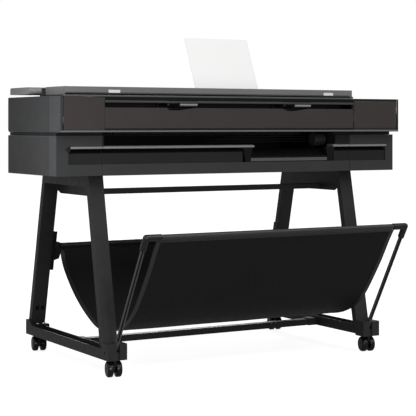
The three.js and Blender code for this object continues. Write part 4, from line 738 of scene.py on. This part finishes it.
def outlet_details():
    """Guide ribs, a starwheel bar and the media hub that show in the black print outlet."""
    rows = [(-60 + 40 * k, 395, 118 + 3 * k, 124 + 3 * k, z, z + 2.4)
            for k, z in enumerate((768, 777, 786, 795))]
    bars("outlet_rails", rows, "graphite_chassis", bevel=0.0006)
    hub = [(0.006, 0), (0.023, 0), (0.0245, 0.0015), (0.0245, 0.008), (0.0205, 0.0095),
           (0.0205, 0.016), (0.0245, 0.0175), (0.0245, 0.022), (0.018, 0.0245), (0.006, 0.0245)]
    shapes = [lathe(hub, mm(362, 60, 778), mm(400, 60, 778)),
              lathe([(r * 0.9, d) for r, d in hub], mm(386.5, 60, 778), mm(420, 60, 778))]
    piece("outlet_hub", *several(shapes), "hub_plastic", "plotter", "black_plastic", 0.0004)
    wheels = [lathe([(0.002, 0), (0.0065, 0.0006), (0.0065, 0.0018), (0.002, 0.0024)],
                    mm(x, 100, 801), mm(x + 5, 100, 801), 18) for x in range(-480, 330, 45)]
    wheels.append(swept([mm(-508, 100, 801), mm(336, 100, 801)], 0.0018, 10))
    piece("starwheel_bar", *several(wheels), "hub_plastic", "plotter", "black_plastic")


def side_details():
    """Lighter strips on both end faces, painted light: near the front edge, and a painted highlight along the
    waist.
    """
    strips = (("upper_side_strip", FACE + 1.5, 59.6, UP + 1.5, DECK - 1.2),
              ("lower_side_strip", 1.5, 59.6, LOW + 1.2, LOW + 129),
              ("waist_highlight", 1.5, 417, LOW + 130.2, LOW + 133.4))
    for side, tag in ((-1, "left"), (1, "right")):
        x0, x1 = sorted((side * (WIDE + 0.35), side * (WIDE - 0.4)))
        for name, y0, y1, z0, z1 in strips:
            # painted light: a lighter copy of the cover colour where the end faces catch the lamp
            bars(f"{tag}_{name}", [(x0, x1, y0, y1, z0, z1)], "charcoal_light", bevel=0.0003,
                 slot="charcoal_cover")


def lever_pads():
    """The grey finger pad along each release lever's top, and two dark clips inside it."""
    for x, tag in LEVERS:
        right = x + LEVER_HALF
        low, high = UP + 88.4, UP + 100.4
        outline = [(FACE - 0.15, low + 2.6), (FACE - 0.15, high - 3.4), (FACE + 1.8, high + 0.2),
                   (FACE + 20.4, high + 0.2), (FACE + 20.4, high - 0.5), (FACE + 20.4, low),
                   (FACE + 3, low)]
        along_x(f"lever_pad_{tag}", outline, [(right - 68, right + 0.5)], "lever_grey",
                f"lever_{tag}", 0.0007)
        bars(f"lever_clip_{tag}", [
            (x - LEVER_HALF, x - 49, FACE + 3, FACE + 16, UP + 90.5, UP + 101),
            (x - 40, x - 18, FACE + 5.5, FACE + 16, UP + 97, UP + 102.2),
        ], "black_gloss", f"lever_{tag}", 0.0012, slot="black_plastic")


LID_THICK = 0.028


def lid_details():
    """A lip and shadow line under the lid's front edge, two plain labels, and a top line."""
    low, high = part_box("scanner_lid")
    x0, x1 = low.x * 1000, high.x * 1000
    y0 = (low.y - FRONT_Y) * 1000
    z0 = (high.z - LID_THICK) * 1000
    along_x("lid_lower_lip", [(y0 - 0.5, z0 + 4.6), (y0 - 0.5, z0 + 8.6), (y0 + 0.4, z0 + 9.2),
                              (y0 + 0.4, z0 + 4.4)], [(x0 + 4.5, x1 - 24)], "lid_shade", "lid",
            slot="lid_grey")
    along_x("lid_shadow_line", [(y0 - 0.3, z0 + 0.4), (y0 - 0.3, z0 + 4.3), (y0 + 6, z0 + 4.3),
                                (y0 + 6, z0 + 0.1)], [(x0 + 4.5, x1 - 4.5)], "deep_black", "lid",
            slot="lid_grey")
    for tag, a, b in (("left", -464, -420), ("right", 425, 468)):
        bars(f"lid_label_{tag}", [(a, b, y0 - 0.55, y0 + 0.3, z0 + 7.5, z0 + 17.5)],
             "label_white", "lid", 0.0002, slot="lever_grey")
    # a shallow joint line around the lid's top
    top = z0 + LID_THICK * 1000
    margin, wide = 16, 1.2
    left, right = x0 + 76, x1 - margin
    front, rear = y0 + margin, (high.y - FRONT_Y) * 1000 - margin
    plan = [(left, right, front, front + wide), (left, right, rear - wide, rear),
            (left, left + wide, front + wide, rear - wide),
            (right - wide, right, front + wide, rear - wide)]
    bars("lid_top_line", [(*edges, top - 0.3, top + 0.12) for edges in plan],
         "deep_black", "lid", 0.0, slot="lid_grey")


def screen_details():
    """Plain tiles and a status bar on the screen, and a ring round the power button."""
    low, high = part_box("control_screen")
    x0, x1 = low.x, high.x
    y0, y1 = low.y, high.y
    z0, z1 = high.z - 0.0002, high.z + 0.00015
    columns, rows = 3, 3
    inset, gap, top_room = 0.008, 0.003, 0.030
    wide = (x1 - x0 - 2 * inset) / columns
    deep = (y1 - y0 - top_room) / rows
    tiles = []
    for i in range(columns):
        for j in range(rows):
            a, b = x0 + inset + i * wide + gap, y0 + inset + j * deep + gap
            tiles.append(box_mesh(a, a + wide - 2 * gap, b, b + deep - 2 * gap, z0, z1))
    piece("screen_tiles", *several(tiles), "screen_tile", "touch_panel", "dark_glass", 0.00008)
    status = box_mesh(x0 + 0.006, x1 - 0.006, y1 - 0.017, y1 - 0.007, z0, z1)
    piece("screen_status_bar", *status, "screen_bar", "touch_panel", "dark_glass", 0.00008)
    low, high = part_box("power_button")
    mid = (low + high) / 2
    steps = 40
    verts, faces = lathe([(0.0068, 0), (0.0078, 0), (0.0078, 0.0008), (0.0068, 0.0008)],
                         (mid.x, mid.y, high.z - 0.0019), (mid.x, mid.y, high.z), steps,
                         close=False)
    last = 3 * steps
    faces += [(k, (k + 1) % steps, last + (k + 1) % steps, last + k) for k in range(steps)]
    piece("power_button_ring", verts, faces, "light_trim", "touch_panel", "lever_grey")


def rear_details():
    """Vents, stiffening ribs, screws and plain sockets on the back."""
    y = (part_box("rear_cover")[1].y - FRONT_Y) * 1000
    vent_count, vent_step, vent_width = 12, 9, 4
    slots = []
    for x0 in (-440, -300, 170, 310):
        slots += [(x0 + vent_step * k, x0 + vent_step * k + vent_width, y - 0.3, y + 0.2,
                   LOW + 60, LOW + 104) for k in range(vent_count)]
    # painted shade: black strips in place of the vents' shadow
    bars("rear_vents", slots, "deep_black", bevel=0.0, slot="graphite_chassis")
    bars("rear_rib", [(SEAM_LOW[0] + 12, SEAM_LOW[1] - 12, y - 0.5, y + 0.8, LOW + 18, LOW + 21),
                      (SEAM_UP[0] + 12, SEAM_UP[1] - 12, y - 0.5, y + 0.8, UP + 20, UP + 23)],
         "charcoal_light", bevel=0.0006, slot="charcoal_cover")
    heads = []
    lower_end = 480  # the lower body's end screws sit nearer the middle
    screw = [(0.0, 0.0016), (0.0012, 0.0016), (0.0014, 0.0011), (0.0030, 0.0014),
             (0.0037, 0.0006), (0.0037, -0.0004)]
    for x in (-505, -170, 150, 470):
        for z in (LOW + 10, LOW + 122, UP + 12, UP + 108):
            if abs(x) > lower_end and z < UP:
                x = math.copysign(lower_end, x)
            heads.append(lathe(screw, mm(x, y, z), mm(x, y + 5, z), 20))
    piece("rear_screws", *several(heads), "bright_steel", "plotter")
    # sockets beside the mains inlet, on the left cover's back
    edge = (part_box("power_inlet")[1].y - FRONT_Y) * 1000
    rows = []
    for k in range(3):
        x = -578 + k * 17
        rows += [(x, x + 14, edge - 1, edge + 1.4, LOW + 50, LOW + 51.5),
                 (x, x + 14, edge - 1, edge + 1.4, LOW + 62, LOW + 63.5),
                 (x, x + 1.5, edge - 1, edge + 1.4, LOW + 51.5, LOW + 62),
                 (x + 12.5, x + 14, edge - 1, edge + 1.4, LOW + 51.5, LOW + 62)]
    bars("socket_frames", rows, "bright_steel", bevel=0.0002)
    bars("socket_wells", [(-576.5 + k * 17, -565.5 + k * 17, edge, edge + 0.8, LOW + 51.5, LOW + 62)
                          for k in range(3)], "deep_black", bevel=0.0, slot="black_plastic")


# ---- Stand -------------------------------------------------------------------------
LEG_SLOPE_REAR = 0.238
LEG_DEPTH = 25.7
LEG_MID = 516
REAR_SEAT = 97.0  # the rear legs' feet, design Z
BRACKET_HALF = 21
SLOT_LOW, SLOT_HIGH = 150, 164  # the bracket's two slots, design Z


def stand_details():
    """A foot hole, a bracket with two slots, and two bolts on each side of the stand."""
    leg_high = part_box("left_leg_frame")[1]
    outer = abs(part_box("left_foot")[0].x) * 1000
    rear_y = (leg_high.y - FRONT_Y) * 1000

    def face(z):
        """The rear leg's front face, in design Y."""
        return rear_y - (z - REAR_SEAT) * LEG_SLOPE_REAR - LEG_DEPTH

    for side, tag in ((-1, "left"), (1, "right")):
        start, end = mm(side * outer, -75, 84), mm(side * (outer + 10), -75, 84)
        # painted shade: a black dish in place of the hole's shadow
        hole = lathe([(0.0001, 0.0003), (0.0034, 0.0003), (0.0038, -0.0006)], start, end, 24)
        piece(f"foot_hole_{tag}", *hole, "deep_black", "plotter", "stand_paint")
        mid = side * LEG_MID
        low, high = REAR_SEAT + 2.6, REAR_SEAT + 70
        plate = [(face(high) - 3.0, high), (face(low) - 3.0, low), (face(low) + 0.4, low),
                 (face(high) + 0.4, high)]
        along_x(f"leg_bracket_{tag}", plate, [(mid - BRACKET_HALF, mid + BRACKET_HALF)],
                "stand_paint", bevel=0.0012)
        # painted shade: black plates in place of the slots' shadow
        holes = [(face(SLOT_HIGH) - 3.3, SLOT_HIGH), (face(SLOT_LOW) - 3.3, SLOT_LOW),
                 (face(SLOT_LOW) - 2, SLOT_LOW), (face(SLOT_HIGH) - 2, SLOT_HIGH)]
        along_x(f"leg_slots_{tag}", holes, [(mid - 17, mid - 4), (mid + 4, mid + 17)],
                "deep_black", bevel=0.0, slot="stand_paint")
        y, z = face(low), REAR_SEAT
        x0, x1 = mid - BRACKET_HALF, mid + BRACKET_HALF + 2
        bars(f"bracket_base_{tag}", [(x0, x1, y - 36, y - 1, z + 0.1, z + 3.1),
                                     (x0, x1, y - 36, y - 33, z - 2.8, z + 0.1)],
             "stand_paint", bevel=0.001)
        bolts = [lathe([(0.0, 0.0032), (0.003, 0.0032), (0.0048, 0.0022), (0.0052, 0)],
                       mm(mid + dx, y - 22, z + 3), mm(mid + dx, y - 22, z + 12), 20)
                 for dx in (-11, 11)]
        piece(f"bracket_bolts_{tag}", *several(bolts), "bright_steel", "plotter")


def caster_details():
    """Turned tyres in place of the plain wheels, with caps and a short axle, on each caster."""
    rolls = [joint for joint in frame["joints"] if joint["name"].startswith("caster_roll_")]
    for joint in rolls:
        tag = joint["name"][len("caster_roll_"):]
        node = f"caster_wheels_{tag}"
        low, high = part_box(node)
        centre = (low + high) / 2
        radius = (high.z - low.z) / 2
        axis = Vector(joint["axis"]).normalized()
        tyre = [(0.010, 0.0052), (radius - 0.0035, 0.0052), (radius - 0.0010, 0.0063),
                (radius, 0.0092), (radius, 0.0190), (radius - 0.0014, 0.0222),
                (radius - 0.0042, 0.0244), (radius - 0.0066, 0.0249), (radius - 0.0070, 0.0237),
                (0.010, 0.0233)]
        cap = [(0.0001, 0.0247), (0.0040, 0.0246), (0.0052, 0.0236), (0.0075, 0.0236),
               (0.0090, 0.0243), (radius - 0.0092, 0.0241), (radius - 0.0080, 0.0234),
               (radius - 0.0080, 0.0220)]
        for part, profile, material in (("tyres", tyre, "wheel_gloss"), ("caps", cap, "cap_grey")):
            shapes = [lathe(profile, centre, centre + axis * s, 48, close=part == "tyres")
                      for s in (-1, 1)]
            obj = piece(f"caster_{part}_{tag}", *several(shapes), material, f"wheels_{tag}",
                        "wheel_tread")
            if part == "tyres":
                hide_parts(node)
        axle = swept([centre - axis * 0.0055, centre + axis * 0.0055], 0.0038, 16)
        piece(f"caster_axle_{tag}", *axle, "bright_steel", f"wheels_{tag}", "wheel_tread")


# ---- Print bin ---------------------------------------------------------------------
ROD_RADIUS = 0.0075
GROOVE_HALF = 0.0021
GROOVE_DEPTH = 0.0010
GROOVE_START = 0.034  # from the pivot
GROOVE_END = 0.040  # short of the front tube


def bin_rods():
    """A black strip along the outer face of each rod, from its socket to its elbow: painted shade for its groove.
    """
    pivot = [Vector(j["pos_m"]) for j in frame["joints"] if j["name"] == "bin_swing"][0]
    low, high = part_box("bin_front_tube")
    top = (low + high) / 2
    along = Vector((0, top.y - pivot.y, top.z - pivot.z))
    length = along.length
    along.normalize()
    facing = Vector((-0.42, -0.91, 0))
    facing = (facing - along * facing.dot(along)).normalized()
    across = along.cross(facing).normalized()
    inner, outer = ROD_RADIUS - GROOVE_DEPTH, ROD_RADIUS + 0.0001
    section = ((-GROOVE_HALF, inner), (-GROOVE_HALF, outer), (GROOVE_HALF, outer),
               (GROOVE_HALF, inner))
    faces = [(0, 1, 2, 3), (4, 5, 6, 7)]
    faces += [(i, (i + 1) % 4, 4 + (i + 1) % 4, 4 + i) for i in range(4)]
    for tag in ("left", "right"):
        low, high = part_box(f"bin_rod_{tag}")
        base = Vector(((low.x + high.x) / 2, pivot.y, pivot.z))
        verts = [base + along * s + across * u + facing * r
                 for s in (GROOVE_START, length - GROOVE_END) for u, r in section]
        # painted shade: a black strip in place of the groove's shadow
        piece(f"rod_groove_{tag}", verts, faces, "deep_black", "bin_frame", "stand_paint")


def fabric_path(count):
    """The sling's centre line in design (y, z), from the front hem down to the rear rod."""
    knots = [(-287.5, 461.0), (-262, 424), (-219, 354), (-170, 284), (-127, 228), (-85, 189),
             (-41, 161), (20, 138), (80, 128), (140, 131), (200, 149), (285, 191), (363, 245),
             (428, 307), (456, 352), (461.5, 379.5)]
    pts = [Vector((0, y, z)) for y, z in knots]
    out = []
    spans = len(pts) - 1
    for i in range(count + 1):
        t = i / count * spans
        k = min(int(t), spans - 1)
        f = t - k
        p0, p1 = pts[max(k - 1, 0)], pts[k]
        p2, p3 = pts[k + 1], pts[min(k + 2, spans)]
        out.append(0.5 * ((2 * p1) + (p2 - p0) * f + (2 * p0 - 5 * p1 + 4 * p2 - p3) * f * f
                          + (3 * p1 - p0 - 3 * p2 + p3) * f * f * f))
    return out


def cloth_sheet(rows, thick):
    """A thin closed sheet from rows of centre points, with its own thickness."""
    count_r, count_c = len(rows), len(rows[0])
    normals = []
    for r in range(count_r):
        line = []
        for c in range(count_c):
            du = rows[r][min(c + 1, count_c - 1)] - rows[r][max(c - 1, 0)]
            dv = rows[min(r + 1, count_r - 1)][c] - rows[max(r - 1, 0)][c]
            line.append(du.cross(dv).normalized())
        normals.append(line)
    verts = [rows[r][c] + normals[r][c] * thick / 2 * s
             for s in (1, -1) for r in range(count_r) for c in range(count_c)]
    size = count_r * count_c
    faces = []
    for r in range(count_r - 1):
        for c in range(count_c - 1):
            a = r * count_c + c
            quad = (a, a + 1, a + count_c + 1, a + count_c)
            faces.append(quad)
            faces.append(tuple(i + size for i in reversed(quad)))
    rim = [c for c in range(count_c)] + [r * count_c + count_c - 1 for r in range(1, count_r)] \
        + [(count_r - 1) * count_c + c for c in range(count_c - 2, -1, -1)] \
        + [r * count_c for r in range(count_r - 2, 0, -1)]
    for i, a in enumerate(rim):
        b = rim[(i + 1) % len(rim)]
        faces.append((a, b, b + size, a + size))
    return verts, faces


PATH_STEPS = 96
CLOTH_COLUMNS = 72
CLOTH_THICK = 0.0011
HEM_THICK = 0.0023
HEM_WIDTH = 16  # design millimetres, like the next three
HEM_EDGE = 0.4
STITCH_LINE = 13
STITCH_OUT = 1.45
SLEEVE_THICK = 0.0010
SLEEVE_TURNS = 26
SLEEVE_COLUMNS = 48
SLEEVE_OPENING = math.radians(24)


def sling_rows(path, half):
    """Rows of centre points, with slack between the corners and a soft ripple by the hems."""
    rows = []
    for i, p in enumerate(path):
        s = i / (len(path) - 1)
        line = []
        for c in range(CLOTH_COLUMNS + 1):
            u = c / CLOTH_COLUMNS * 2 - 1
            slack = 1.0 - abs(u) ** 3
            ripple = math.sin(u * 9.0 + 1.3 * math.sin(s * 5)) * 0.45 * math.sin(math.pi * s)
            sag = (slack - 0.5) * 0.9 * math.sin(math.pi * s) + ripple
            line.append(mm(u * half, p.y + 0.15 * ripple, p.z - sag * 0.7))
        rows.append(line)
    return rows


def side_hem(path, half, side, tag):
    """A folded hem along one cut edge of the sling, and its stitches on both faces."""
    edge = [[mm(side * (half - HEM_EDGE), p.y, p.z), mm(side * (half - HEM_WIDTH), p.y, p.z)]
            for p in path]
    if side > 0:
        edge = [[b, a] for a, b in edge]
    hem = piece(f"sling_side_hem_{tag}", *cloth_sheet(edge, HEM_THICK), "bin_webbing", None,
                "bin_fabric")
    x = side * (half - STITCH_LINE)
    stitches = []
    for i in range(2, len(path) - 3, 2):
        a, b = path[i], path[i + 1]
        normal = Vector((0, -(b.z - a.z), b.y - a.y)).normalized()
        for s in (STITCH_OUT, -STITCH_OUT):
            points = [mm(x, a.y + normal.y * s, a.z + normal.z * s),
                      mm(x, a.y + (b.y - a.y) * 0.75 + normal.y * s,
                         a.z + (b.z - a.z) * 0.75 + normal.z * s)]
            stitches.append(swept(points, 0.0004, 6))
    thread = piece(f"sling_stitches_{tag}", *several(stitches), "thread", None, "bin_fabric")
    return [hem, thread]


def sleeve(name, node, half, body, drop, toward):
    """Cloth wrapped round a tube, with its two ends leaving it at the angle toward."""
    low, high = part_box(node)
    c = (low + high) / 2
    r = (high.z - low.z) / 2 + 0.0013
    ring = []
    for k in range(SLEEVE_TURNS + 1):
        a = toward + SLEEVE_OPENING + k / SLEEVE_TURNS * (2 * math.pi - 2 * SLEEVE_OPENING)
        ring.append((c.y + r * math.cos(a), c.z + r * math.sin(a)))
    tail = Vector((0, math.cos(toward), math.sin(toward)))
    end_y, end_z = c.y + (r + drop) * tail.y, c.z + (r + drop) * tail.z
    first = (end_y - 0.0012 * tail.z, end_z + 0.0012 * tail.y)
    last = (end_y + 0.0012 * tail.z, end_z - 0.0012 * tail.y)
    grid = [[Vector((half * (2 * k / SLEEVE_COLUMNS - 1), y, z))
             for k in range(SLEEVE_COLUMNS + 1)] for y, z in [last] + ring + [first]]
    return piece(name, *cloth_sheet(grid, SLEEVE_THICK), "bin_webbing", body, "bin_fabric")


def print_bin():
    """The sling's cloth, its side hems, and its sleeves round the front tube and rear rod."""
    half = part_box("bin_sling")[1].x * 1000
    hem_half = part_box("bin_front_hem")[1].x
    path = fabric_path(PATH_STEPS)
    rows = sling_rows(path, half)
    sling = piece("sling_cloth", *cloth_sheet(rows, CLOTH_THICK), "bin_fabric", None, None, 0.0)
    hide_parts("bin_sling")

    hems = side_hem(path, half, -1, "left") + side_hem(path, half, 1, "right")
    down = path[3] - path[0]
    front = sleeve("hem_sleeve_front", "bin_front_tube", hem_half, "bin_frame", 0.011,
                   math.atan2(down.z, down.y))
    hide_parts("bin_front_hem")
    up = path[-4] - path[-1]
    rear = sleeve("hem_sleeve_rear", "bin_rear_rod", half / 1000, "plotter", 0.010,
                  math.atan2(up.z, up.y))
    for obj in [sling] + hems:
        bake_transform(obj)


front_trims()
cover_frames()
ledge_and_recess()
chute_details()
outlet_details()
side_details()
lever_pads()
lid_details()
screen_details()
rear_details()
stand_details()
caster_details()
bin_rods()
print_bin()
